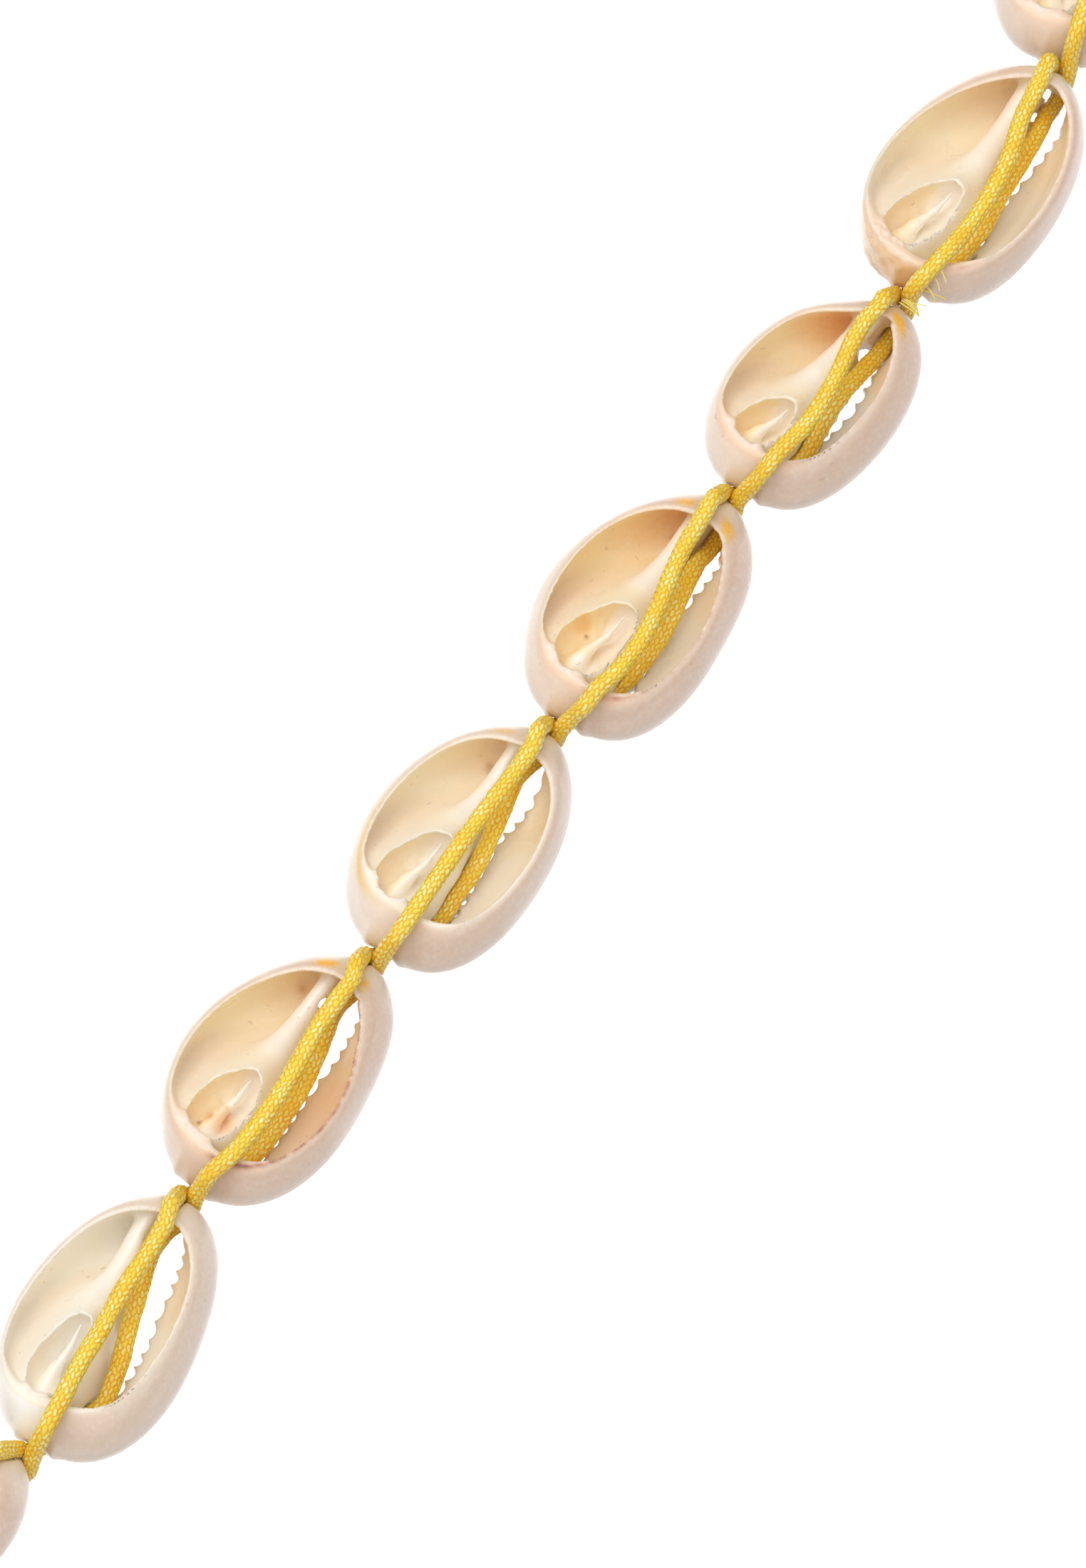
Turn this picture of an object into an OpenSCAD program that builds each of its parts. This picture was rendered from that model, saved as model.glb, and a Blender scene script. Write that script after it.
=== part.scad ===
// Necklace of ring cowrie shells, ground open on their backs and laced end to end
// on two strands of braided cord. It lies flat as a closed loop, cut sides up.
// The wearer's front stretch runs along X at the low side of Y.

/* [Shells] */
// Length of a full-sized shell
shell_len = 21.4; // [18:0.1:26]
// Width of a full-sized shell
shell_w = 13.8; // [11:0.1:16]
// Height at which a shell is widest
widest_z = 2.3; // [2:0.05:2.8]
// Height of the ground rim above the base
rim_z = 5.4; // [4.8:0.1:7]
// Depth of the notch in each end, seen from above
notch_depth = 0.55; // [0.3:0.05:0.9]
// Shell left over the canal at each end
canal_roof_t = 0.5; // [0.35:0.05:0.8]
// Step by which the outer wall climbs over a canal
canal_rise = 0.3; // [0.1:0.05:0.5]

/* [Cord] */
// Diameter of one strand
cord_d = 1.25; // [0.8:0.05:1.3]
// Gap between a strand and the rim that it lies on
rim_clearance = 0.12; // [0.1:0.01:0.3]
// Gap between the two strands where they pass each other
strand_clearance = 0.12; // [0.1:0.01:0.3]
// Gap between the lower strand and the surface below the necklace
floor_clearance = 0.18; // [0.1:0.01:0.3]
// Gap between the lower strand and the roof of a canal
canal_clearance = 0.4; // [0.3:0.05:0.7]
// Room that two neighbouring shells leave beyond a strand's diameter
lacing_clearance = 0.05; // [0.05:0.05:0.5]

/* [Knot] */
// Diameter of the knot that closes the loop
knot_d = 4.4; // [4:0.1:7]
// Length of the knot
knot_len = 7; // [5:0.5:12]
// Radius of the knot's rounded ends
knot_round = 1.0; // [0.5:0.1:1.6]
// Gap between a strand's end and the knot's face
knot_clearance = 0.15; // [0.1:0.05:0.4]

/* [Hidden] */

// The string from one side of the knot round to the other, a row for each shell:
// heading of its narrow end in degrees, its length and width as shares of a full-sized
// shell, how wide its ground opening is, how far that opening sits to the left, and how
// many lanes the strand over the opening strays to the left in the middle.
HEADING = 0;
LENGTH = 1;
WIDTH = 2;
OPENING = 3;
SHIFT = 4;
STRAY = 5;
SHELLS = [
    [184, 0.97, 0.98, 1.00, 0.00, 0.30],
    [202, 1.00, 1.00, 0.96, 0.02, -0.50],
    [237, 0.96, 0.97, 1.02, 0.00, 0.20],
    [270, 0.99, 1.00, 0.98, 0.03, -0.30],
    [302, 0.98, 0.96, 1.02, 0.00, 0.50],
    [337, 1.00, 1.00, 0.96, 0.06, -0.40],
    [367, 0.98, 0.98, 0.99, 0.00, 0.75],
    [358, 0.99, 1.00, 1.00, 0.00, -1.00],
    [359, 0.98, 0.98, 1.00, 0.00, 0.85],
    [360, 1.00, 1.00, 0.97, 0.00, -0.70],
    [357, 0.90, 0.94, 0.95, 0.00, 0.00],
    [363, 0.98, 1.00, 1.08, 0.06, -0.80],
    [382, 1.00, 0.98, 1.00, 0.00, 0.40],
    [418, 0.97, 1.00, 0.98, 0.03, -0.30],
    [450, 0.99, 0.97, 1.03, 0.00, 0.60],
    [484, 0.96, 1.00, 0.97, 0.02, -0.60],
    [519, 1.00, 0.98, 1.00, 0.00, 0.20],
    [536, 0.98, 1.00, 0.96, 0.04, -0.20]
];
LAST = len(SHELLS) - 1;

// Directions round a shell in degrees, from its narrow end towards its left side.
// Those within the canal's reach of an end pass over the canal there.
RAYS = [0, 10, 22, 40, 60, 80, 100, 120, 140, 158, 170,
        180, 190, 202, 220, 240, 260, 280, 300, 320, 338, 350];
CANAL_REACH = 12;

// Reach of a shell against the direction, as shares of its half length and half width:
// where it is widest, at the inside of its ground rim, and the width of the rim.
WIDE_REACH = [[0, 0.984], [30, 0.972], [60, 0.993], [90, 1.071], [120, 1.080], [150, 1.045], [180, 0.965],
              [210, 1.021], [240, 1.003], [270, 0.931], [300, 0.937], [330, 0.985], [360, 0.984]];
RIM_REACH = [[0, 0.741], [30, 0.757], [60, 0.822], [90, 0.874], [120, 0.932], [150, 0.854], [180, 0.753],
             [210, 0.760], [240, 0.741], [270, 0.699], [300, 0.689], [330, 0.724], [360, 0.741]];
RIM_BAND = [[0, 0.084], [90, 0.065], [180, 0.050], [270, 0.085], [360, 0.084]];
// Rings of the outer and inner wall, from the base up to the rim and down inside:
// height as a share of the rim's, how far the ring has drawn in from the widest line
// to the rim, its reach as a share of that, and its share of a canal's rise.
RING_H = 0;
RING_DRAW = 1;
RING_SHARE = 2;
RING_RISE = 3;
OUTER_RINGS = [
    [0.00, 0.00, 0.86, 0.33],
    [0.20, 0.00, 0.97, 1.00],
    [widest_z / rim_z, 0.00, 1.00, 1.00],
    [0.76, 0.44, 1.00, 1.00],
    [1.00, 1.00, 1.00, 1.00]
];
INNER_RINGS = [
    [1.00, 1.00, 1.00],
    [0.63, 0.20, 0.87],
    [0.35, 0.00, 0.82]
];

// The slit in the base, from the narrow end to the broad end: place along the shell as a
// share of its half length, then its left and right edge as shares of the half width.
SLIT_HALF = 0.75;
SLIT_LEFT = [[-0.75, -0.03], [-0.65, -0.09], [-0.40, -0.23], [0.00, -0.14],
             [0.30, 0.02], [0.60, 0.12], [0.75, 0.10]];
SLIT_RIGHT = [[-0.75, -0.26], [-0.65, -0.38], [-0.40, -0.46], [0.00, -0.44],
              [0.60, -0.36], [0.75, -0.22]];
// Height of the slit's edge as a share of the rim's
LIP_H = 0.19;

// The floor left of the slit. Going from the slit's edge to the foot of the wall, it
// climbs to a crest, dips into the open inner whorl, meets the whorl's far crest and
// falls to the floor of the chamber. Each list gives a share against the place along
// the shell: where the line lies between slit and wall, or its height as a share of
// the rim's.
CREST_AT = [[-0.68, 0.10], [-0.45, 0.10], [-0.20, 0.16], [0.05, 0.20], [0.40, 0.10], [0.70, 0.12]];
DIP_AT = [[-0.68, 0.42], [-0.45, 0.42], [-0.20, 0.36], [0.05, 0.28], [0.40, 0.16], [0.70, 0.20]];
FAR_AT = [[-0.68, 0.74], [-0.45, 0.74], [-0.20, 0.58], [0.05, 0.36], [0.40, 0.24], [0.70, 0.28]];
FOOT_AT = [[-0.68, 0.92], [-0.45, 0.92], [-0.20, 0.78], [0.05, 0.62], [0.40, 0.48], [0.70, 0.50]];
CREST_H = [[-0.68, 0.84], [-0.45, 0.86], [-0.20, 0.76], [0.05, 0.60], [0.40, 0.56], [0.70, 0.60]];
DIP_H = [[-0.68, 0.50], [-0.45, 0.36], [-0.20, 0.58], [0.05, 0.60], [0.40, 0.56], [0.70, 0.60]];
FOOT_H = [[-0.68, 0.34], [-0.45, 0.26], [-0.20, 0.24], [0.05, 0.20], [0.40, 0.22], [0.70, 0.30]];
// The floor right of the slit rises evenly: place between slit and wall, and height
RIGHT_FLOOR = [[0.88, 0.28], [0.70, 0.23], [0.45, 0.20], [0.20, 0.19]];

// Heights of the two courses of the cord
under_z = floor_clearance + cord_d / 2;
over_z = rim_z + rim_clearance + cord_d / 2;
// Where a strand passes between two shells, as a share of the way between the courses
CROSS_SHARE = 0.32;
cross_z = under_z + CROSS_SHARE * (over_z - under_z);
canal_z = floor_clearance + cord_d + canal_clearance;
canal_roof = canal_z + canal_roof_t;
lane = (cord_d + strand_clearance) / 2;
shell_gap = cord_d + lacing_clearance;

// Both courses through one shell, from its broad end to its narrow end: place along the
// shell as a share of its half length, place to the left in lanes, and height as a
// share of the way from the lower course to the upper one.
OVER_COURSE = [
    [-0.977, -1.00, 0.715],
    [-0.890, -1.15, 0.965],
    [-0.790, -1.45, 1.000],
    [-0.300, -1.85, 0.990],
    [0.380, -0.60, 0.985],
    [0.840, 0.75, 1.000],
    [0.885, 0.90, 0.965],
    [0.950, 1.00, 0.765]
];
UNDER_COURSE = [
    [-1.026, 0.80, 0.110],
    [-0.940, 0.30, 0.005],
    [-0.790, -1.20, 0.010],
    [-0.650, -2.25, 0.110],
    [-0.420, -3.30, 0.230],
    [-0.150, -3.20, 0.400],
    [0.120, -2.60, 0.480],
    [0.450, -1.10, 0.290],
    [0.680, -0.75, 0.070],
    [0.890, -0.95, 0.005],
    [1.026, -1.00, 0.130]
];
CORD_SIDES = 6;

// The plain stretch from the last shell to the knot: share of the way, and height as a
// share of the way from the surface to the middle of the knot
TAIL = [[0.12, 0.55], [0.25, 0.05], [0.50, 0.00], [0.75, 0.00], [0.88, 0.30], [0.96, 0.92]];

function mix(a, b, t) = a + (b - a) * t;
function unit(v) = v / norm(v);
function spun(p, angle) = [p.x * cos(angle) - p.y * sin(angle), p.x * sin(angle) + p.y * cos(angle)];
function half_len(i) = shell_len * SHELLS[i][LENGTH] / 2;
function half_w(i) = shell_w * SHELLS[i][WIDTH] / 2;
function step_of(i) = spun([2 * half_len(i) + shell_gap, 0], SHELLS[i][HEADING]);

// Joints of the string before it is centred, one more than there are shells
raw_joints = [for (i = 0, p = [0, 0]; i <= LAST + 1; p = i <= LAST ? p + step_of(i) : p, i = i + 1) p];
function raw_centre(i) = (raw_joints[i] + raw_joints[i + 1]) / 2;
function outline(i, a) = [a % 180 == 0 ? cos(a) * (half_len(i) - notch_depth)
                                       : half_len(i) * cos(a) / cos(RAYS[1]),
                          half_w(i) * sin(a)];
raw_edge = [for (i = [0:LAST], a = RAYS)
    raw_centre(i) + spun(lookup(a, WIDE_REACH) * outline(i, a), SHELLS[i][HEADING])];
function middle(axis) = (min([for (p = raw_edge) p[axis]]) + max([for (p = raw_edge) p[axis]])) / 2;
loop_middle = [middle(0), middle(1)];
joints = [for (p = raw_joints) p - loop_middle];
knot_at = (joints[0] + joints[LAST + 1]) / 2;
knot_heading = let (v = joints[0] - joints[LAST + 1]) atan2(v.y, v.x);

function placed(i, p) = let (q = raw_centre(i) - loop_middle + spun([p.x, p.y], SHELLS[i][HEADING]))
    [q.x, q.y, p.z];

// One shell: every ray carries the same number of points, so rows of them close into
// one skin round the slit.
function in_canal(a) = abs(sin(a)) < sin(CANAL_REACH);
function ring_point(i, a, ring, rim, spread, shift) = let (
    reach = mix(lookup(a, WIDE_REACH), rim, ring[RING_DRAW]) * ring[RING_SHARE] * spread,
    edge = outline(i, a))
    [edge.x * reach, edge.y * reach + shift * half_w(i), ring[RING_H] * rim_z];
function slit_point(i, a) = let (
    at = SLIT_HALF * cos(a),
    side = sin(a) > 0.001 ? lookup(at, SLIT_LEFT)
         : sin(a) < -0.001 ? lookup(at, SLIT_RIGHT)
         : (lookup(at, SLIT_LEFT) + lookup(at, SLIT_RIGHT)) / 2)
    [at * half_len(i), side * half_w(i)];
function raised(p, a, least) = in_canal(a) ? [p.x, p.y, max(p.z, least)] : p;
function floor_rows(a) = let (at = SLIT_HALF * cos(a))
    sin(a) > 0.001 ? [[lookup(at, FOOT_AT), lookup(at, FOOT_H)],
                      [lookup(at, FAR_AT), lookup(at, CREST_H)],
                      [lookup(at, DIP_AT), lookup(at, DIP_H)],
                      [lookup(at, CREST_AT), lookup(at, CREST_H)]]
                   : RIGHT_FLOOR;
function ray_points(i, a) = let (
    spread = SHELLS[i][OPENING],
    shift = SHELLS[i][SHIFT],
    slit = slit_point(i, a),
    rim = lookup(a, RIM_REACH),
    band = lookup(a, RIM_BAND),
    outer = [for (ring = OUTER_RINGS)
        ring_point(i, a, ring, rim + band, mix(1, spread, ring[RING_DRAW]), shift * ring[RING_DRAW])],
    inner = [for (ring = INNER_RINGS)
        ring_point(i, a, ring, rim, mix(1, spread, ring[RING_H]), shift * ring[RING_H])],
    foot = inner[len(inner) - 1])
    concat(
        [raised([slit.x, slit.y, 0], a, canal_z)],
        [for (k = [0:len(outer) - 1])
            raised(outer[k], a, canal_z + canal_rise * OUTER_RINGS[k][RING_RISE])],
        [for (p = inner) raised(p, a, canal_roof)],
        [for (row = floor_rows(a))
            let (q = mix([slit.x, slit.y], [foot.x, foot.y], row[0]))
            in_canal(a) ? [q.x, q.y, canal_roof] : [q.x, q.y, row[1] * rim_z]],
        [raised([slit.x, slit.y, LIP_H * rim_z], a, canal_roof)]);

function skin_faces(rows, cols) = [for (r = [0:rows - 1], c = [0:cols - 1])
    let (r2 = (r + 1) % rows, c2 = (c + 1) % cols,
         p = r * cols + c, q = r2 * cols + c, s = r2 * cols + c2, t = r * cols + c2)
    each [[p, s, q], [p, t, s]]];

module shell(i) {
    rays = [for (a = RAYS) [for (p = ray_points(i, a)) placed(i, p)]];
    polyhedron(points = [for (ray = rays) each ray],
               faces = skin_faces(len(rays), len(rays[0])));
}

// One strand: it takes the upper course over every other shell and the lower course
// through those between, and meets the knot at both ends.
function joint_heading(j) = j == 0 ? SHELLS[0][HEADING]
    : j > LAST ? SHELLS[LAST][HEADING]
    : (SHELLS[j - 1][HEADING] + SHELLS[j][HEADING]) / 2;
function joint_point(j, side) = let (q = joints[j] + spun([0, side * lane], joint_heading(j)))
    [q.x, q.y, cross_z];
function course(i, over) = [for (row = over ? OVER_COURSE : UNDER_COURSE)
    let (spread = over ? mix(1, SHELLS[i][OPENING], row[2]) : 1,
         stray = over ? SHELLS[i][STRAY] * max(0, 1 - pow(row[0] / 0.9, 2)) : 0)
    placed(i, [row[0] * half_len(i) * spread, (row[1] + stray) * lane, mix(under_z, over_z, row[2])])];
function passes_over(i, first) = (i + first) % 2 == 0;
function knot_side(side) = [for (end = [-1, 1])
    knot_at + spun([end * (knot_len / 2 + knot_clearance), side * lane], knot_heading)];
function tail(from, to) = concat(
    [for (row = TAIL) let (q = mix([from.x, from.y], to, row[0]))
        [q.x, q.y, row[0] < 0.2 ? mix(under_z, from.z, row[1]) : mix(under_z, knot_d / 2, row[1])]],
    [[to.x, to.y, knot_d / 2]]);
function reversed(list) = [for (k = [len(list) - 1:-1:0]) list[k]];
function strand_route(first) = let (
    start_side = passes_over(0, first) ? -1 : 1,
    start = joint_point(0, start_side),
    end_side = passes_over(LAST, first) ? 1 : -1,
    end = joint_point(LAST + 1, end_side))
    concat(
        reversed(tail(start, knot_side(start_side)[1])),
        [start],
        [for (i = [0:LAST]) each concat(course(i, passes_over(i, first)),
            [joint_point(i + 1, passes_over(i, first) ? 1 : -1)])],
        tail(end, knot_side(end_side)[0]));

function route_aim(path, k) = k == 0 ? unit(path[1] - path[0])
    : k == len(path) - 1 ? unit(path[k] - path[k - 1])
    : unit(unit(path[k + 1] - path[k]) + unit(path[k] - path[k - 1]));
function flat_side(path, k) = let (
    far = path[min(k + 2, len(path) - 1)] - path[max(k - 2, 0)])
    unit([-far.y, far.x, 0]);
function cord_ring(path, k) = let (
    aim = route_aim(path, k),
    level = flat_side(path, k),
    side = unit(level - aim * (level * aim)),
    up = cross(aim, side))
    [for (s = [0:CORD_SIDES - 1]) let (turn = 360 * (s + 0.5) / CORD_SIDES)
        path[k] + cord_d / 2 * (cos(turn) * side + sin(turn) * up)];

module strand(first) {
    path = strand_route(first);
    rows = len(path);
    sides = CORD_SIDES;
    polyhedron(
        points = [for (k = [0:rows - 1]) each cord_ring(path, k)],
        faces = concat(
            [[for (s = [0:sides - 1]) s]],
            [for (k = [0:rows - 2], s = [0:sides - 1])
                let (s2 = (s + 1) % sides, p = k * sides, q = p + sides)
                each [[p + s, q + s, q + s2], [p + s, q + s2, p + s2]]],
            [[for (s = [0:sides - 1]) rows * sides - 1 - s]]));
}

module knot() {
    round = min(knot_round, knot_d / 4);
    translate([knot_at.x, knot_at.y, knot_d / 2])
        rotate([0, 0, knot_heading])
            rotate([0, 90, 0])
                rotate_extrude($fn = 48) {
                    translate([0, -knot_len / 2])
                        square([knot_d / 2 - round, knot_len]);
                    translate([0, -knot_len / 2 + round])
                        square([knot_d / 2, knot_len - 2 * round]);
                    for (end = [-1, 1])
                        translate([knot_d / 2 - round, end * (knot_len / 2 - round)])
                            circle(r = round, $fn = 32);
                }
}

for (i = [0:LAST])
    color("linen") shell(i);
color("gold") strand(0);  // cord_a
color("gold") strand(1);  // cord_b
color("gold") knot();  // closure_knot
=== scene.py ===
import math
import bpy
import numpy as np
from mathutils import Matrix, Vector


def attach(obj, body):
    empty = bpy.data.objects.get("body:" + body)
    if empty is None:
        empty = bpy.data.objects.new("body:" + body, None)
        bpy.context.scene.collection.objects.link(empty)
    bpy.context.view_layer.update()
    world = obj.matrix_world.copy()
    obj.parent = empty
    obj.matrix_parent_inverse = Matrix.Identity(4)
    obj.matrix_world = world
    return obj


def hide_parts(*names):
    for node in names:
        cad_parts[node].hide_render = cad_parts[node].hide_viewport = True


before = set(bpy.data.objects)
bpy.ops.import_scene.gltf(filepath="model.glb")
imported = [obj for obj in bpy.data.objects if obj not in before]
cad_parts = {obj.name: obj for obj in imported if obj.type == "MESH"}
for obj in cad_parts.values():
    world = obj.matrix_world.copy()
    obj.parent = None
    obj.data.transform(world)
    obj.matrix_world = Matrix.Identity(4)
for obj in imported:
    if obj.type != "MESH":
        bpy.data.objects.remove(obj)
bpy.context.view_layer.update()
mm = 0.001


# The camera looks down on the front stretch from low on its outer side
cameraView = {"target": (-3.19, -39.71, 2.5), "heading": 35.4, "elevation": 68.3,
              "distance": 644.0, "pixelsPerMm": 19.244, "frameHeight": 2200.0, "sensor": 36.0}

def placeCamera(view):
    heading, climb = math.radians(view["heading"]), math.radians(view["elevation"])
    level = math.cos(climb)
    ahead = Vector((math.cos(heading) * level, math.sin(heading) * level, -math.sin(climb)))
    bpy.ops.object.camera_add()
    camera = bpy.context.object
    camera.name = "photoCamera"
    camera.location = (Vector(view["target"]) - ahead * view["distance"]) * mm
    camera.rotation_euler = ahead.to_track_quat("-Z", "Y").to_euler()
    camera.data.sensor_width = view["sensor"]
    camera.data.lens = view["sensor"] * view["distance"] * view["pixelsPerMm"] / view["frameHeight"]
    camera.data.clip_start = 0.01
    camera.data.clip_end = 10.0
    bpy.context.scene.camera = camera

placeCamera(cameraView)
print("camera placed")


# Lengths in millimetres, as in the part. A notch for the cord cuts each end, and tipAngle
# degrees beside it the outline has its full length
stringPlan = {"shellLength": 21.4, "shellWidth": 13.8, "shellGap": 1.3, "notch": 0.55, "tipAngle": 10,
              "lane": 0.64, "underHeight": 0.805, "overHeight": 6.145, "crossShare": 0.32, "strayReach": 0.9,
              "joinGap": 0.6, "fineStep": 0.06, "knotLength": 7.0, "knotWidth": 4.4, "knotGap": 0.15}
# One row a shell, round from the knot: heading of the narrow end, length and width as
# shares of a full-sized shell, how wide the ground opening is, and how many lanes the
# strand over it strays to the left in the middle
shellRows = [
    (184, 0.97, 0.98, 1.0, 0.3), (202, 1.0, 1.0, 0.96, -0.5), (237, 0.96, 0.97, 1.02, 0.2),
    (270, 0.99, 1.0, 0.98, -0.3), (302, 0.98, 0.96, 1.02, 0.5), (337, 1.0, 1.0, 0.96, -0.4),
    (367, 0.98, 0.98, 0.99, 0.75), (358, 0.99, 1.0, 1.0, -1.0), (359, 0.98, 0.98, 1.0, 0.85),
    (360, 1.0, 1.0, 0.97, -0.7), (357, 0.9, 0.94, 0.95, 0.0), (363, 0.98, 1.0, 1.08, -0.8),
    (382, 1.0, 0.98, 1.0, 0.4), (418, 0.97, 1.0, 0.98, -0.3), (450, 0.99, 0.97, 1.03, 0.6),
    (484, 0.96, 1.0, 0.97, -0.6), (519, 1.0, 0.98, 1.0, 0.2), (536, 0.98, 1.0, 0.96, -0.2)]
# Both ways through a shell: place along it, place to the left in lanes, share of the height
overCourse = [(-0.977, -1.1, 0.715), (-0.89, -1.25, 0.965), (-0.79, -1.45, 1.0), (-0.42, -1.9, 0.99),
              (0.05, -1.35, 0.985), (0.51, -0.2, 0.99), (0.72, 0.35, 1.0), (0.84, 0.65, 1.0),
              (0.885, 0.75, 0.965), (0.95, 0.9, 0.765)]
underCourse = [(-1.026, 0.8, 0.11), (-0.94, 0.3, 0.005), (-0.79, -1.2, 0.01), (-0.65, -2.25, 0.11),
               (-0.42, -3.3, 0.23), (-0.15, -3.2, 0.4), (0.12, -2.6, 0.48), (0.45, -1.1, 0.29),
               (0.68, -0.75, 0.07), (0.89, -0.95, 0.005), (1.026, -1.0, 0.13)]
# The strands of the shells in the photo, counted from the knot: place along and to the
# left of each shell's middle in millimetres, and for the lower strand also its height
photoOver = {
    7: ((-9.4, -0.77), (-7.2, -0.77), (-4.2, -0.6), (-1.6, -0.66), (2.1, -0.6), (5.8, -0.8), (7.8, -0.75)),
    8: ((-9.5, -1.5), (-7.4, -1.91), (-4.4, -1.92), (-1.7, -1.73), (1.7, -1.17), (4.0, -0.79), (6.6, -0.6),
        (8.1, -0.5)),
    9: ((-9.5, -0.95), (-7.6, -0.93), (-3.7, -0.66), (0.1, -0.44), (4.0, -0.36), (7.9, -0.17)),
    10: ((-9.5, -1.25), (-8.0, -1.4), (-6.4, -1.68), (-4.0, -1.79), (-2.0, -1.57), (0.3, -1.11),
         (2.4, -0.53), (4.8, -0.04), (7.9, 0.3)),
    11: ((-8.6, -1.05), (-6.9, -1.18), (-3.7, -1.38), (-0.9, -1.11), (1.5, -0.6), (4.0, 0.06), (6.0, 0.35),
         (7.4, 0.3)),
    12: ((-9.5, -1.05), (-8.0, -1.3), (-6.1, -1.55), (-3.6, -1.67), (-0.8, -1.56), (2.2, -1.09),
         (5.1, -0.31), (8.0, 0.05))}
photoUnder = {
    7: ((-5.2, -2.75, 2.1), (-3.8, -2.7, 2.5), (-2.0, -2.43, 3.0), (0.1, -1.87, 3.3), (2.4, -1.28, 3.3),
        (4.8, -0.62, 2.8), (7.0, -0.05, 1.5), (8.6, -0.15, 0.9)),
    8: ((-6.2, -2.1, 2.0), (-4.7, -2.36, 2.5), (-2.1, -2.29, 3.0), (0.4, -1.99, 3.3), (2.7, -1.43, 3.3),
        (4.8, -0.65, 2.8), (6.8, 0.1, 1.5), (8.4, 0.2, 0.9)),
    9: ((-5.3, -1.8, 2.0), (-3.6, -1.8, 2.5), (-1.0, -1.71, 3.0), (1.7, -1.21, 3.3), (4.5, -0.4, 2.8),
        (6.8, 0.35, 1.6), (8.4, 0.35, 0.9)),
    10: ((-5.4, -1.7, 2.0), (-4.0, -1.99, 2.5), (-1.5, -2.11, 3.0), (0.8, -1.8, 3.3), (3.3, -1.23, 3.0),
         (5.6, -0.7, 2.3)),
    11: ((-4.5, -1.85, 2.0), (-2.5, -1.66, 2.6), (-0.7, -1.4, 3.2), (1.4, -1.2, 3.0), (4.4, -1.05, 2.2),
         (6.2, -0.9, 1.4)),
    12: ((-5.2, -1.6, 2.0), (-3.0, -1.91, 2.6), (-0.8, -1.8, 3.2), (2.2, -1.61, 3.0), (5.7, -1.25, 2.0),
         (8.2, -0.8, 1.2))}
# Where the strands lie side by side in the joint past a shell's narrow end: left, right
photoJoints = {6: (0.74, -0.4), 7: (0.08, -1.04), 8: (0.78, -0.39), 9: (0.91, -0.22), 10: (0.88, -0.32),
               11: (0.83, -0.44), 12: (0.68, -0.69)}
tailCourse = [(0.12, 0.55), (0.25, 0.05), (0.5, 0.0), (0.75, 0.0), (0.88, 0.3), (0.96, 0.92)]
outlineAngles = (0, 10, 22, 40, 60, 80, 100, 120, 140, 158, 170, 180,
                 190, 202, 220, 240, 260, 280, 300, 320, 338, 350)
# Reach of a shell and of its ground opening every 30 degrees from the narrow end to the left
wideReach = (0.984, 0.972, 0.993, 1.071, 1.08, 1.045, 0.965, 1.021, 1.003, 0.931, 0.937, 0.985)
rimReach = (0.741, 0.757, 0.822, 0.874, 0.932, 0.854, 0.753, 0.76, 0.741, 0.699, 0.689, 0.724)

def turned(x, y, degrees):
    c, s = math.cos(math.radians(degrees)), math.sin(math.radians(degrees))
    return np.array([x * c - y * s, x * s + y * c])

def layOutJoints(plan):
    spots, edge = [np.zeros(2)], []
    for heading, length, width in [row[:3] for row in shellRows]:
        half, side = plan["shellLength"] * length / 2, plan["shellWidth"] * width / 2
        spots.append(spots[-1] + turned(2 * half + plan["shellGap"], 0, heading))
        centre = (spots[-1] + spots[-2]) / 2
        for angle in outlineAngles:
            a = math.radians(angle)
            wide = np.interp(angle, range(0, 361, 30), wideReach + wideReach[:1])
            blunt = half / math.cos(math.radians(plan["tipAngle"]))
            x = math.cos(a) * (half - plan["notch"] if angle % 180 == 0 else blunt)
            edge.append(centre + turned(wide * x, wide * side * math.sin(a), heading))
    edge = np.array(edge)
    return np.array(spots) - (edge.min(0) + edge.max(0)) / 2

joints = layOutJoints(stringPlan)
lastShell = len(shellRows) - 1
knotSpot = (joints[0] + joints[-1]) / 2
knotHeading = math.degrees(math.atan2(*(joints[0] - joints[-1])[::-1]))

def jointAside(j, side):
    left, right = photoJoints.get(j, (stringPlan["lane"], -stringPlan["lane"]))
    return left if side > 0 else right

def heightOf(share):
    return stringPlan["underHeight"] + share * (stringPlan["overHeight"] - stringPlan["underHeight"])

def jointSpot(j, side):
    before, after = shellRows[max(j - 1, 0)][0], shellRows[min(j, lastShell)][0]
    x, y = joints[j] + turned(0, jointAside(j, side), (before + after) / 2)
    return [x, y, heightOf(stringPlan["crossShare"])]

def shellCourse(i, over):
    plan = stringPlan
    heading, length = shellRows[i][:2]
    spread, stray = shellRows[i][3:]
    centre = (joints[i] + joints[i + 1]) / 2
    points = []
    for along, lanes, lift in overCourse if over else underCourse:
        reach = along * plan["shellLength"] * length / 2 * (1 + (spread - 1) * lift if over else 1)
        aside = lanes + (stray * max(0, 1 - (along / plan["strayReach"]) ** 2) if over else 0)
        points.append([reach, aside * plan["lane"], heightOf(lift)])
    seen = (photoOver if over else photoUnder).get(i + 1)
    if seen:
        end = (plan["shellLength"] * length + plan["shellGap"]) / 2
        start, finish = jointAside(i, -1 if over else 1), jointAside(i + 1, 1 if over else -1)
        laid = [(-end, start)] + [p[:2] for p in seen] + [(end, finish)]
        lifts = np.interp([p[0] for p in seen], [p[0] for p in points], [p[2] for p in points])
        seen = [[p[0], p[1], lift if over else p[2]] for p, lift in zip(seen, lifts)]
        first, last = seen[0][0] - plan["joinGap"], seen[-1][0] + plan["joinGap"]
        points = [p for p in points if p[0] < first] + seen + [p for p in points if p[0] > last]
        points = [[p[0], float(np.interp(p[0], *zip(*laid))), p[2]] for p in points]
    return [[*(centre + turned(x, y, heading)), z] for x, y, z in points]

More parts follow.
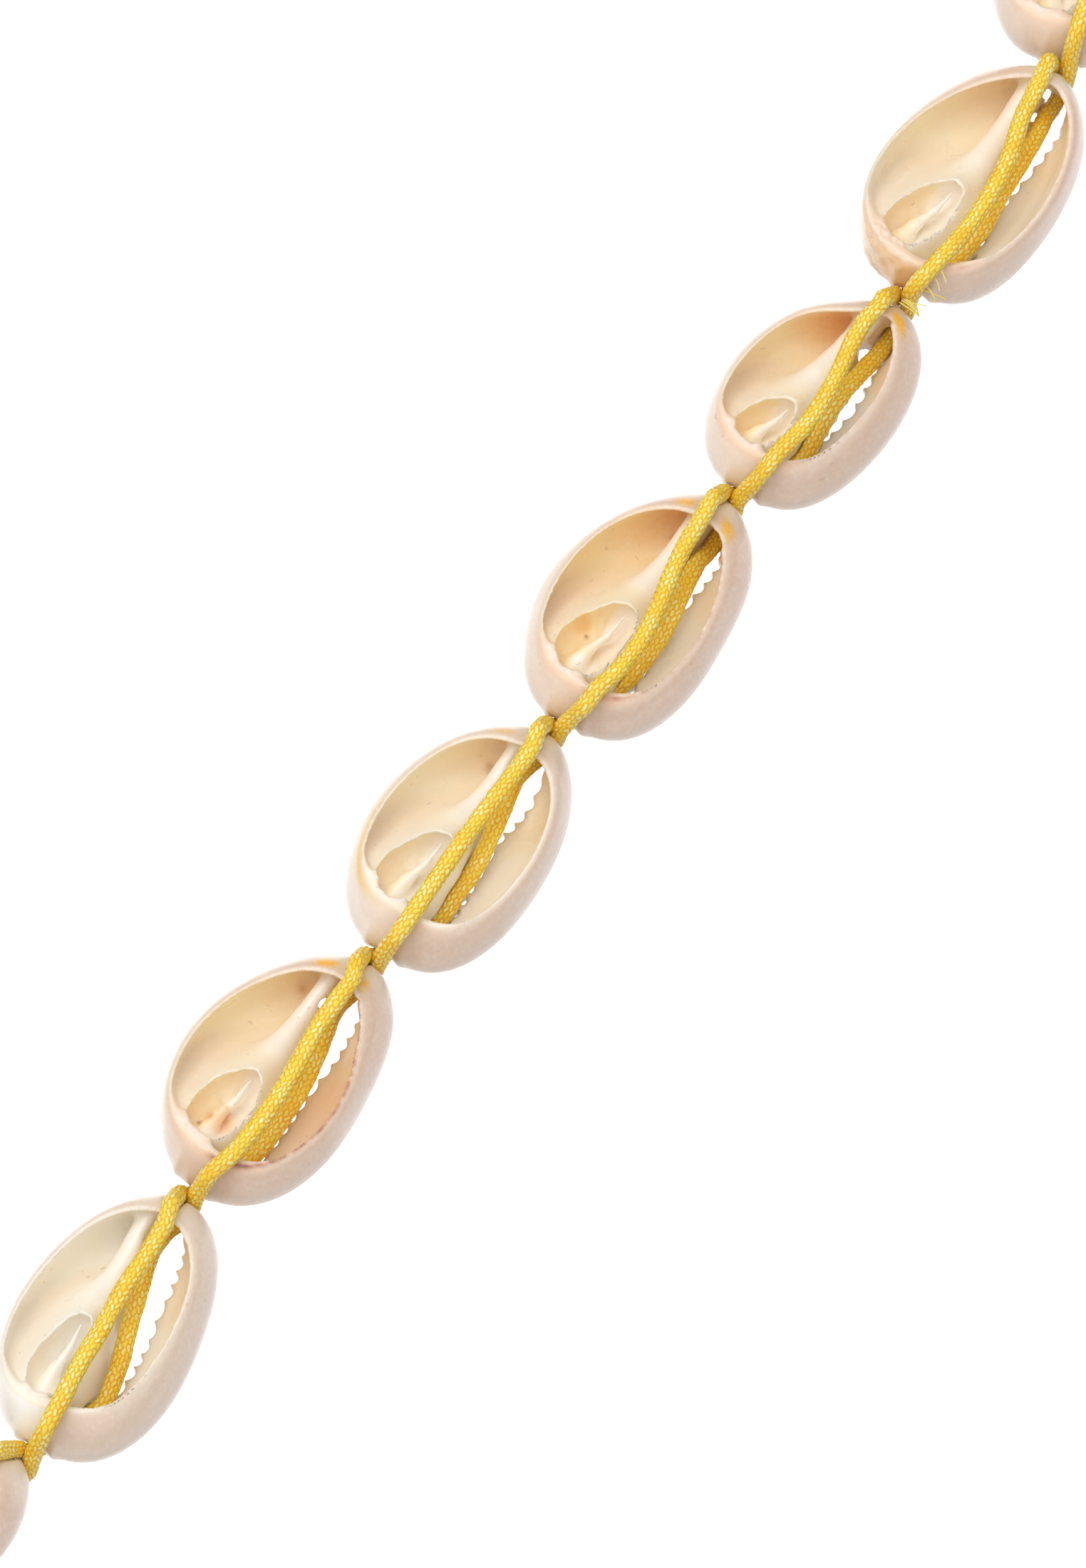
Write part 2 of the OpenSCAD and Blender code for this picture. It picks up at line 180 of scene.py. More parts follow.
def tailPoints(start, end):
    plan = stringPlan
    points = []
    for share, lift in tailCourse:
        x, y = np.array(start[:2]) * (1 - share) + np.array(end) * share
        top = start[2] if share < 0.2 else plan["knotWidth"] / 2
        points.append([x, y, plan["underHeight"] + lift * (top - plan["underHeight"])])
    return points + [[end[0], end[1], plan["knotWidth"] / 2]]

def strandRoute(first):
    plan = stringPlan
    passesOver = [(i + first) % 2 == 0 for i in range(lastShell + 1)]
    startSide, endSide = (-1 if passesOver[0] else 1), (1 if passesOver[-1] else -1)
    start, end = jointSpot(0, startSide), jointSpot(lastShell + 1, endSide)
    knotReach = plan["knotLength"] / 2 + plan["knotGap"]
    startKnot = knotSpot + turned(knotReach, startSide * plan["lane"], knotHeading)
    endKnot = knotSpot + turned(-knotReach, endSide * plan["lane"], knotHeading)
    route = tailPoints(start, startKnot)[::-1] + [start]
    for i, over in enumerate(passesOver):
        route += shellCourse(i, over) + [jointSpot(i + 1, 1 if over else -1)]
    return np.array(route + tailPoints(end, endKnot))

def lengthAlong(route):
    return np.concatenate([[0], np.cumsum(np.linalg.norm(np.diff(route, axis=0), axis=1))])

# A smooth curve through the points of a route, then cut into even steps
def roundedRoute(route, gap):
    ends = np.vstack([2 * route[0] - route[1], route, 2 * route[-1] - route[-2]])
    fine = []
    for p0, p1, p2, p3 in zip(ends[:-3], ends[1:-2], ends[2:-1], ends[3:]):
        d0, d1, d2 = [max(np.linalg.norm(b - a), 1e-6) ** 0.5 for a, b in ((p0, p1), (p1, p2), (p2, p3))]
        m1 = d1 * ((p1 - p0) / d0 - (p2 - p0) / (d0 + d1) + (p2 - p1) / d1)
        m2 = d1 * ((p2 - p1) / d1 - (p3 - p1) / (d1 + d2) + (p3 - p2) / d2)
        count = max(int(np.linalg.norm(p2 - p1) / stringPlan["fineStep"]), 4)
        t = np.linspace(0, 1, count, endpoint=False)[:, None]
        fine.append((2 * t ** 3 - 3 * t ** 2 + 1) * p1 + (t ** 3 - 2 * t ** 2 + t) * m1
                    + (3 * t ** 2 - 2 * t ** 3) * p2 + (t ** 3 - t ** 2) * m2)
    fine = np.vstack(fine + [route[-1:]])
    along = lengthAlong(fine)
    even = np.linspace(0, along[-1], int(along[-1] / gap) + 1)
    return np.stack([np.interp(even, along, fine[:, k]) for k in range(3)], 1)

routes = [strandRoute(0), strandRoute(1)]
print("string laid out:", [round(float(lengthAlong(route)[-1]), 1) for route in routes], "mm")


# A shell is carved from a grid of distances, which gives its wall, blends and thin edges.
# Its own frame: x to the narrow end, y to the left, z up, in millimetres. Band and wall hold
# their thickness at the narrow end, the broad end, left and right, and ridge and spine are
# points with a half width each. The hole is the ground-open top of the inner whorl: middle,
# half length, half width and turn. Pinholes: middle, half length and half width. Streaks on
# the rim: angle, spread and strength. Marks inside: middle, reach, colour and strength
slitStart = ((-6.6, -2.0), (-4.5, -2.4), (-2.5, -2.0), (0.5, -1.5), (2.2, -1.2), (4.0, -0.6))
narrowSlit = slitStart + ((5.0, -0.1), (6.3, 0.2), (7.7, 0.3))
shellForm = {
    "wide": wideReach, "rim": rimReach, "neck": 0.018, "tip": 0.04, "tail": 0.025,
    "widest": 2.3, "rimHeight": 5.4, "upperCurve": 1.9, "lowerCurve": 2.4, "drawIn": 0.14,
    "band": (0.9, 0.4, 0.4, 0.6), "wall": (1.2, 1.0, 0.8, 1.3), "bandDepth": 2.6,
    "floor": 1.0, "floorBlend": 2.2,
    "ridge": ((9.1, 0.95, 3.3), (4.5, 0.95, 3.0), (1.0, 1.0, 2.9), (-2.1, 1.2, 2.6)),
    "ridgeWidth": (0.95, 0.78, 1.25, 2.0), "hole": (-4.4, 1.4, 3.2, 1.8, -13), "taper": 0.22,
    "moundTop": 5.1, "moundEdge": 0.05, "moundFlare": 1.2, "moundSteep": 0.5, "shelf": 0.6,
    "pocketMiddle": 4.6, "pocketDepth": 1.6,
    "spine": ((0.8, 0.05, 4.4), (0.25, -0.1, 4.1), (-0.3, -0.02, 3.7), (-0.85, -0.15, 3.2)),
    "spineWidth": (0.14, 0.25, 0.48, 1.0),
    "slitLeft": slitStart + ((5.0, -0.1), (6.3, 0.6), (7.7, 0.9)),
    "slitRight": ((-6.6, -2.3), (-5.0, -2.75), (-3.5, -2.7), (-1.5, -2.4), (0.5, -2.2), (2.0, -2.1),
                  (4.0, -2.1), (5.5, -2.0), (7.5, -1.8), (8.5, -1.3)),
    "slitEnds": (-6.4, 8.2), "teeth": 1.32, "toothReach": 0.48, "toothCurve": 0.55,
    "canalShift": 0.3, "canalAhead": 9.5, "canalBehind": 8.4, "canalWidth": 1.45, "canalHeight": 1.85,
    "cordRoom": 0.72, "grooveDepth": 0.22, "rough": 0, "pinholes": (), "rimBlend": 0.75,
    "lip": (1.0, 0.955, 0.89), "line": 0.1, "stain": 0, "marks": ()}

def softMax(a, b, blend):
    h = np.clip(0.5 + 0.5 * (a - b) / blend, 0, 1)
    return b + (a - b) * h + blend * h * (1 - h)

def softMin(a, b, blend):
    return -softMax(-a, -b, blend)

def easeStep(low, high, value):
    t = np.clip((value - low) / (high - low), 0, 1)
    return t * t * (3 - 2 * t)

def bell(value, middle, spread):
    return np.exp(-((value - middle) / spread) ** 2)

def roundValues(values, angle):
    parts = np.fft.rfft(values) / len(values)
    total = np.full_like(angle, parts[0].real)
    for k in range(1, len(parts)):
        weight = 1 if 2 * k == len(values) else 2
        total += weight * (parts[k].real * np.cos(k * angle) - parts[k].imag * np.sin(k * angle))
    return total

def quarterValues(values, c, s):
    front, back, left, right = values
    return np.where(c > 0, front, back) * c * c + np.where(s > 0, left, right) * s * s

def linePart(x, y, z, a, b):
    a, b = np.array(a, float), np.array(b, float)
    d = b - a
    t = np.clip(((x - a[0]) * d[0] + (y - a[1]) * d[1] + (z - a[2]) * d[2]) / d.dot(d), 0, 1)
    return t, (x - a[0] - t * d[0]) ** 2 + (y - a[1] - t * d[1]) ** 2 + (z - a[2] - t * d[2]) ** 2

def tubeGap(x, y, z, points, widths):
    best = np.full_like(x, 99.0)
    for a, b, ra, rb in zip(points[:-1], points[1:], widths[:-1], widths[1:]):
        t, square = linePart(x, y, z, a, b)
        best = softMin(best, np.sqrt(square) - (ra + t * (rb - ra)), 0.3)
    return best

def wayGap(x, y, z, points):
    best = np.full_like(x, 99.0)
    for a, b in zip(points[:-1], points[1:]):
        best = np.minimum(best, linePart(x, y, z, a, b)[1])
    return np.sqrt(best)

def aboveWay(x, y, z, points):
    best = np.full_like(x, 99.0)
    for a, b in zip(points[:-1], points[1:]):
        dx, dy = b[0] - a[0], b[1] - a[1]
        t = np.clip(((x - a[0]) * dx + (y - a[1]) * dy) / (dx * dx + dy * dy), 0, 1)
        away = np.hypot(x - a[0] - t * dx, y - a[1] - t * dy)
        best = np.minimum(best, np.maximum(away, a[2] + t * (b[2] - a[2]) - z))
    return best

def eggGap(x, y, z, centre, reach, turn, taper):
    c, s = math.cos(math.radians(turn)), math.sin(math.radians(turn))
    dx, dy = x - centre[0], y - centre[1]
    u, v, w = (dx * c + dy * s) / reach[0], (dy * c - dx * s) / reach[1], (z - centre[2]) / reach[2]
    v = v * (1 + taper * np.clip(u, -1.5, 1.5))
    rho = np.sqrt(u * u + v * v + w * w) + 1e-6
    return (rho - 1) * rho / (np.sqrt((u / reach[0]) ** 2 + (v / reach[1]) ** 2 + (w / reach[2]) ** 2) + 1e-6)

# The wall: gaps to its outer and inner face, and the angle round the shell
def wallGaps(x, y, z, form):
    halfLength, halfWidth = form["half"]
    widest, rimHeight = form["widest"], form["rimHeight"]
    angle = np.arctan2(y / halfWidth, x / halfLength)
    c, s = np.cos(angle), np.sin(angle)
    rho = np.hypot(x / halfLength, y / halfWidth)
    scale = np.hypot(halfLength * c, halfWidth * s)
    wide = roundValues(form["wide"], angle)
    wide = wide + form["tip"] * bell(y, 0, 2.2) * easeStep(0.6, 0.95, c)
    waist = form["neck"] * bell(np.abs(y), 1.5, 0.35) - form["tail"] * bell(y, 0, 3.4)
    wide = wide + waist * easeStep(0.6, 0.95, -c)
    rimIn = roundValues(form["rim"], angle)
    band = quarterValues(form["band"], c, s)
    rimOut = rimIn + band / scale
    above = np.clip((z - widest) / (rimHeight - widest), 0, 1.3) ** form["upperCurve"]
    below = np.clip((widest - z) / widest, 0, 1.2) ** form["lowerCurve"]
    edge = np.where(z > widest, wide + (rimOut - wide) * above, wide * (1 - form["drawIn"] * below))
    outer = (rho - edge) * scale
    lower = easeStep(0.0, form["bandDepth"], rimHeight - z)
    wall = band + (quarterValues(form["wall"], c, s) - band) * lower
    return outer, outer + wall, angle

# The slit's two edges with their teeth, and the wave of the teeth
def slitEdges(x, form):
    reach = form["toothReach"]
    bend = 0.25 * np.sin(0.9 * x + 3 * form["toothShift"])
    wave = np.abs(np.sin(math.pi * ((x + bend) / form["teeth"] + form["toothShift"]))) ** form["toothCurve"]
    right = np.interp(x, *zip(*form["slitRight"])) + reach * (0.55 - wave) * easeStep(8.3, 7.2, x)
    left = np.interp(x, *zip(*form["slitLeft"])) - 0.6 * reach * (0.55 - wave)
    return left, right, wave

# The columella, a ridge from the narrow end that stands on a foot
def ridgeGap(x, y, z, form):
    ridge = tubeGap(x, y, z, form["ridge"], form["ridgeWidth"])
    ridgeX, ridgeY = [p[0] for p in form["ridge"]], [p[1] for p in form["ridge"]]
    foot = softMax(np.abs(y - np.interp(x, ridgeX[::-1], ridgeY[::-1]) + 0.1) - 0.35, z - 2.6, 0.4)
    return softMin(ridge, softMax(foot, np.abs(x - 2.5) - 7.5, 0.3), 0.9)

# The inner whorl: its mound and the pocket that grinding opened in it, with a spine
def whorlGaps(x, y, z, inner, form):
    cx, cy, reachX, reachY, turn = form["hole"]
    middleZ, depth, top, taper = form["pocketMiddle"], form["pocketDepth"], form["moundTop"], form["taper"]
    swell = 1 / math.sqrt(1 - ((top - middleZ) / depth) ** 2)
    around = np.arctan2((y - cy) / reachY, (x - cx) / reachX)
    chip = 0.05 * np.sin(5 * around + form["toothShift"] * 9) + 0.03 * np.sin(13 * around + cx * 7)
    steep = form["moundSteep"]
    flare = steep + (form["moundFlare"] - steep) * easeStep(-0.9, 0.3, (y - cy) / reachY)
    grow = form["moundEdge"] + flare * np.clip(top - z, 0, 9)
    tc, ts = math.cos(math.radians(turn)), math.sin(math.radians(turn))
    mu = ((x - cx) * tc + (y - cy) * ts) / (reachX + grow)
    mv = ((y - cy) * tc - (x - cx) * ts) / (reachY + grow)
    mv = mv * (1 + taper * np.clip(mu, -1.5, 1.5))
    rho = np.hypot(mu, mv) + 1e-6
    mound = 0.85 * (rho - 1) * rho / (np.hypot(mu / (reachX + grow), mv / (reachY + grow)) + 1e-6) + chip
    mound = softMax(mound, z - top - 0.28 * easeStep(-1.2, -0.2, inner), 0.12)
    middle, reach = (cx, cy, middleZ), (reachX * swell, reachY * swell, depth)
    pocket = eggGap(x, y, z, middle, reach, turn, taper * swell) + chip
    spine = [(cx + u * reachX * tc - v * reachY * ts, cy + u * reachX * ts + v * reachY * tc, w)
             for u, v, w in form["spine"]]
    spine = tubeGap(x, y, z, spine, form["spineWidth"])
    return mound, softMax(softMax(pocket, inner + 0.3, 0.1), -spine, 0.35)

def shellGaps(x, y, z, form):
    halfLength, rimHeight = form["half"][0], form["rimHeight"]
    outer, inner, angle = wallGaps(x, y, z, form)
    slitLeft, slitRight, wave = slitEdges(x, form)
    slitEnd = np.maximum(form["slitEnds"][0] - x, x - form["slitEnds"][1])
    slit = softMax(softMax(slitRight - y, y - slitLeft, 0.12), slitEnd, 0.4)
    slit = softMax(slit, np.where(x > 7.4, z - 3.7, -1.0), 0.15)
    middle = (slitLeft + slitRight) / 2
    floor = form["floor"] + 0.25 * easeStep(2, 6, np.abs(y - middle)) + 0.02 * (y - 2.5) ** 2
    hollowSpace = softMax(inner, floor - z, form["floorBlend"])
    ridge = ridgeGap(x, y, z, form)
    mound, pocket = whorlGaps(x, y, z, inner, form)
    body = softMin(ridge, mound, 1.8)
    shelf = softMax(-inner - form["shelf"], z - form["moundTop"], 0.2)
    body = softMin(body, softMax(shelf, x + 0.6 * halfLength, 1.4), 0.8)
    space = softMax(hollowSpace, -body, 1.0)
    space = softMin(space, pocket, 0.1)
    channel = aboveWay(x, y, z, form["lowerWay"]) - form["cordRoom"] + 0.05
    space = softMin(space, softMax(softMax(channel, inner, 0.4), 1.5 - x, 1.0), 0.3)
    canal = np.hypot((y - form["canalShift"] * np.sign(x)) / form["canalWidth"], z / form["canalHeight"]) - 1
    canal = softMax(canal * 1.5, np.where(x > 0, form["canalAhead"] - x, form["canalBehind"] + x), 0.5)
    groove = form["grooveDepth"] * (1 - wave) * easeStep(2.2, 0.5, np.abs(y - middle))
    groove = groove * easeStep(8.5, 7.0, np.abs(x))
    crumble = np.sin(5.1 * x + 2 * z) * np.sin(4.3 * y - 1.7 * x)
    crumble = crumble + 0.6 * np.sin(11 * x + 3 * y) * np.sin(9 * z + 8 * y)
    crumble = form["rough"] * crumble * np.exp(-((x + 0.8 * halfLength) / 2.6) ** 2 - ((y - 2.8) / 2.4) ** 2)
    solid = softMax(outer + 0.12 * crumble, z - rimHeight + 0.16 * np.abs(crumble), form["rimBlend"])
    solid = softMax(solid, groove - z, 0.35)
    solid = softMax(solid, -space, 0.2)
    solid = softMax(solid, -slit, 0.25)
    solid = softMax(solid, -canal, 0.3)
    for px, py, rx, ry in form["pinholes"]:
        away = np.hypot((x - px - 0.28 * (1 - z)) / rx, (y - py - 0.25 * (1 - z)) / ry)
        solid = softMax(solid, -softMax(ry * away - ry, z - 4.0, 0.1), 0.1)
    for route in form["cordways"]:
        solid = softMax(solid, form["cordRoom"] - wayGap(x, y, z, route), 0.2)
    return {"solid": solid, "outer": outer, "inner": inner, "ridge": ridge, "mound": mound,
            "pocket": pocket, "slit": slit, "rim": rimHeight - z, "angle": angle}

# The surface where the field is zero: one point in each cell that it crosses
def skinOfField(values, low, step):
    inside = values < 0
    cells = np.zeros([n - 1 for n in values.shape], np.int8)
    corners = [(i, j, k) for i in (0, 1) for j in (0, 1) for k in (0, 1)]
    shape = cells.shape
    for i, j, k in corners:
        cells += inside[i:i + shape[0], j:j + shape[1], k:k + shape[2]]
    spots = np.argwhere((cells > 0) & (cells < 8))
    total, count = np.zeros((len(spots), 3)), np.zeros(len(spots))
    for a in corners:
        for axis in range(3):
            if a[axis]:
                continue
            b = list(a)
            b[axis] = 1
            va = values[tuple((spots + a).T)]
            vb = values[tuple((spots + b).T)]
            cross = (va < 0) != (vb < 0)
            t = np.where(cross, va / np.where(cross, va - vb, 1), 0)
            point = np.tile(np.array(a, float), (len(spots), 1))
            point[:, axis] = t
            total[cross] += point[cross]
            count += cross
    vertices = low + (spots + total / count[:, None]) * step
    index = np.full(shape, -1, np.int64)
    index[tuple(spots.T)] = np.arange(len(spots))
    faces = []
    for axis in range(3):
        u, v = (axis + 1) % 3, (axis + 2) % 3
        a = np.take(inside, range(values.shape[axis] - 1), axis)
        b = np.take(inside, range(1, values.shape[axis]), axis)
        edges = np.argwhere(a != b)
        keep = (edges[:, u] > 0) & (edges[:, v] > 0) & (edges[:, u] < shape[u]) & (edges[:, v] < shape[v])
        edges = edges[keep]
        quad = []
        for du, dv in ((1, 1), (0, 1), (0, 0), (1, 0)):
            cell = edges.copy()
            cell[:, u] -= du
            cell[:, v] -= dv
            quad.append(index[tuple(cell.T)])
        quad = np.stack(quad, 1)
        flip = ~a[tuple(edges.T)]
        quad[flip] = quad[flip][:, ::-1]
        faces.append(quad)
    return vertices, np.vstack(faces)

# What differs from shell to shell, counted from the knot
shellLooks = {
    7: {"wide": (0.995, 0.933, 0.908, 0.951, 0.989, 1.011, 1.0, 1.058, 1.091, 1.027, 1.013, 1.047),
        "rim": (0.778, 0.762, 0.755, 0.784, 0.877, 0.844, 0.727, 0.732, 0.733, 0.707, 0.745, 0.781),
        "hole": (-4.0, 1.19, 3.35, 1.48, -4), "warm": 0.0, "top": 0.0, "blush": 0.15, "white": 1.0,
        "streaks": (),
        "slitEnds": (-6.4, 9.2), "slitLeft": narrowSlit,
        "slitRight": ((-6.6, -2.5), (-5.5, -2.9), (-3.5, -3.14), (-1.6, -3.33), (0.7, -3.15), (2.9, -2.78),
                      (5.2, -2.6), (7.8, -2.05), (8.6, -1.49))},
    8: {"wide": (0.994, 0.972, 0.981, 1.061, 1.031, 0.984, 0.996, 1.028, 1.03, 0.944, 0.925, 0.994),
        "rim": (0.712, 0.741, 0.785, 0.866, 0.906, 0.837, 0.757, 0.793, 0.811, 0.764, 0.672, 0.681),
        "hole": (-4.39, 1.21, 3.05, 1.81, -9), "ridgeWidth": (0.6, 0.6, 1.15, 2.0),
        "ridge": ((9.1, 1.55, 3.3), (4.5, 1.35, 3.0), (1.0, 1.15, 2.9), (-2.1, 1.2, 2.6)),
        "warm": 0.65, "top": 0.3, "lip": (0.99, 0.84, 0.68), "blush": 0.5, "line": 1.0,
        "pinholes": ((6.85, 1.3, 0.5, 0.26),),
        "marks": ((6.7, 3.0, 0.4, (0.8, 0.6, 0.4), 0.6), (-5.5, 1.0, 1.0, (0.94, 0.74, 0.55), 0.7),
                  (-4.6, 1.05, 0.25, (0.86, 0.58, 0.36), 0.5), (-5.7, 1.7, 0.3, (0.84, 0.55, 0.34), 0.6),
                  (-6.5, 2.0, 0.22, (0.6, 0.36, 0.2), 0.7)),
        "streaks": ((20, 7, 1.0), (-11, 5, 0.6)),
        "slitEnds": (-6.4, 9.2), "slitLeft": narrowSlit,
        "slitRight": ((-6.6, -2.3), (-5.5, -2.6), (-3.9, -2.68), (-2.4, -2.57), (-0.5, -2.38), (1.8, -2.22),
                      (3.7, -2.2), (5.6, -1.9), (7.9, -1.44), (8.7, -1.1))},
    9: {"wide": (0.969, 0.979, 1.013, 1.084, 1.068, 1.037, 1.0, 1.042, 1.028, 0.939, 0.919, 0.947),
        "rim": (0.715, 0.762, 0.829, 0.862, 0.891, 0.793, 0.694, 0.759, 0.785, 0.752, 0.733, 0.729),
        "hole": (-4.14, 1.4, 3.28, 1.85, -11), "ridgeWidth": (0.7, 0.65, 1.2, 2.0),
        "ridge": ((9.1, 1.35, 3.3), (4.5, 1.1, 3.0), (1.0, 1.05, 2.9), (-2.1, 1.2, 2.6)),
        "warm": 0.4, "top": 0.3, "blush": 0.2, "white": 0.5, "streaks": ((26, 8, 0.35), (128, 24, 0.4)),
        "marks": ((6.4, 2.5, 0.35, (0.72, 0.5, 0.28), 0.6), (5.9, 2.2, 0.2, (0.72, 0.5, 0.28), 0.5)),
        "slitEnds": (-6.4, 9.2), "slitLeft": narrowSlit,
        "slitRight": ((-6.6, -2.2), (-5.5, -2.4), (-3.0, -2.2), (0.0, -1.75), (1.9, -1.4), (4.2, -1.68),
                      (5.8, -1.62), (7.8, -1.05), (8.7, -0.8))},
    10: {"wide": (0.976, 0.977, 0.991, 1.108, 1.097, 1.054, 1.0, 1.027, 1.007, 0.895, 0.902, 0.959),
        "rim": (0.687, 0.733, 0.819, 0.873, 0.902, 0.843, 0.758, 0.785, 0.75, 0.674, 0.626, 0.654),
        "hole": (-4.4, 1.33, 3.45, 1.95, -15), "warm": 0.95, "top": 0.6, "blush": 0.75, "line": 0.5,
        "marks": ((6.7, 2.2, 0.35, (0.78, 0.56, 0.32), 0.6), (-3.8, 2.9, 0.7, (0.93, 0.74, 0.42), 0.6),
                  (-4.2, 2.33, 0.17, (0.55, 0.36, 0.16), 0.9), (-6.4, 1.6, 0.6, (1.0, 0.96, 0.95), 0.9)),
        "streaks": ((22, 6, 0.9), (-17, 7, 0.9)),
        "slitLeft": slitStart + ((5.0, -0.5), (6.3, -0.5), (7.7, -0.5)),
        "slitRight": ((-6.6, -2.2), (-5.5, -2.4), (-3.0, -2.2), (-1.0, -1.92), (0.8, -1.75), (3.8, -1.73),
                      (5.2, -1.85), (6.8, -1.8), (7.8, -1.16), (8.6, -0.8))},
    11: {"wide": (0.941, 0.903, 0.956, 1.071, 1.102, 1.071, 1.0, 1.015, 0.979, 0.931, 0.948, 0.979),
        "rim": (0.714, 0.669, 0.765, 0.843, 0.929, 0.85, 0.743, 0.707, 0.63, 0.582, 0.606, 0.674),
        "hole": (-4.7, 1.42, 2.4, 1.52, -20), "warm": 0.75, "lip": (1.0, 0.975, 0.95), "top": 1.25,
        "blush": 0.7, "line": 0.3, "streaks": ((-16, 9, 1.1),),
        "slitLeft": slitStart + ((4.7, -0.3), (5.2, 0.2), (5.7, 0.65), (6.2, 0.3), (6.5, -0.4), (7.7, -0.4)),
        "slitRight": ((-5.5, -2.0), (-4.0, -2.1), (-2.4, -1.92), (0.4, -2.24), (2.0, -2.16), (4.1, -1.66),
                      (5.3, -1.27), (6.6, -1.0), (7.5, -0.8))},
    12: {"wide": (1.006, 1.022, 1.052, 1.11, 1.135, 1.078, 0.982, 0.988, 0.944, 0.89, 0.925, 0.985),
        "rim": (0.815, 0.774, 0.814, 0.963, 1.092, 0.965, 0.861, 0.809, 0.771, 0.747, 0.757, 0.805),
        "hole": (-5.0, 2.0, 3.3, 1.75, -20), "warm": 0.5, "top": 0.3, "blush": 0.9, "white": 0.0, "line": 0.2,
        "rough": 1.0, "stain": 0.75, "pinholes": ((9.75, 0.25, 0.42, 0.2), (7.73, -0.02, 0.5, 0.22)),
        "streaks": ((20, 10, 0.1),),
        "slitEnds": (-6.4, 9.7), "slitLeft": slitStart + ((6.2, -0.7), (9.0, -0.6)),
        "slitRight": ((-6.6, -2.2), (-5.0, -2.3), (-2.8, -2.05), (-1.1, -1.86), (0.9, -1.97), (3.0, -2.17),
                      (5.0, -2.37), (7.1, -2.45), (9.0, -2.06), (9.4, -1.8))}}

def formOf(i):
    heading, length, width = shellRows[i][:3]
    form = dict(shellForm)
    form["toothShift"] = 0.37 * i % 1
    chance = np.random.default_rng(40 + i).random(6)
    form.update({"warm": 0.2 + 0.5 * chance[0], "top": chance[1], "blush": 0.2 + 0.6 * chance[2],
                 "white": 0.4 * chance[3], "streaks": ((20 + 20 * chance[4], 8, chance[5]),)})
    form.update(shellLooks.get(i + 1, {}))
    form["half"] = (stringPlan["shellLength"] * length / 2, stringPlan["shellWidth"] * width / 2)
    centre = (joints[i] + joints[i + 1]) / 2
    form["centre"], form["heading"] = centre, heading
    form["cordways"] = []
    for route in routes:
        near = route[np.hypot(*(route[:, :2] - centre).T) < form["half"][0] + 2.5]
        form["cordways"].append([list(turned(*(p[:2] - centre), -heading)) + [p[2]] for p in near])
    form["lowerWay"] = form["cordways"][(i + 1) % 2]
    return form

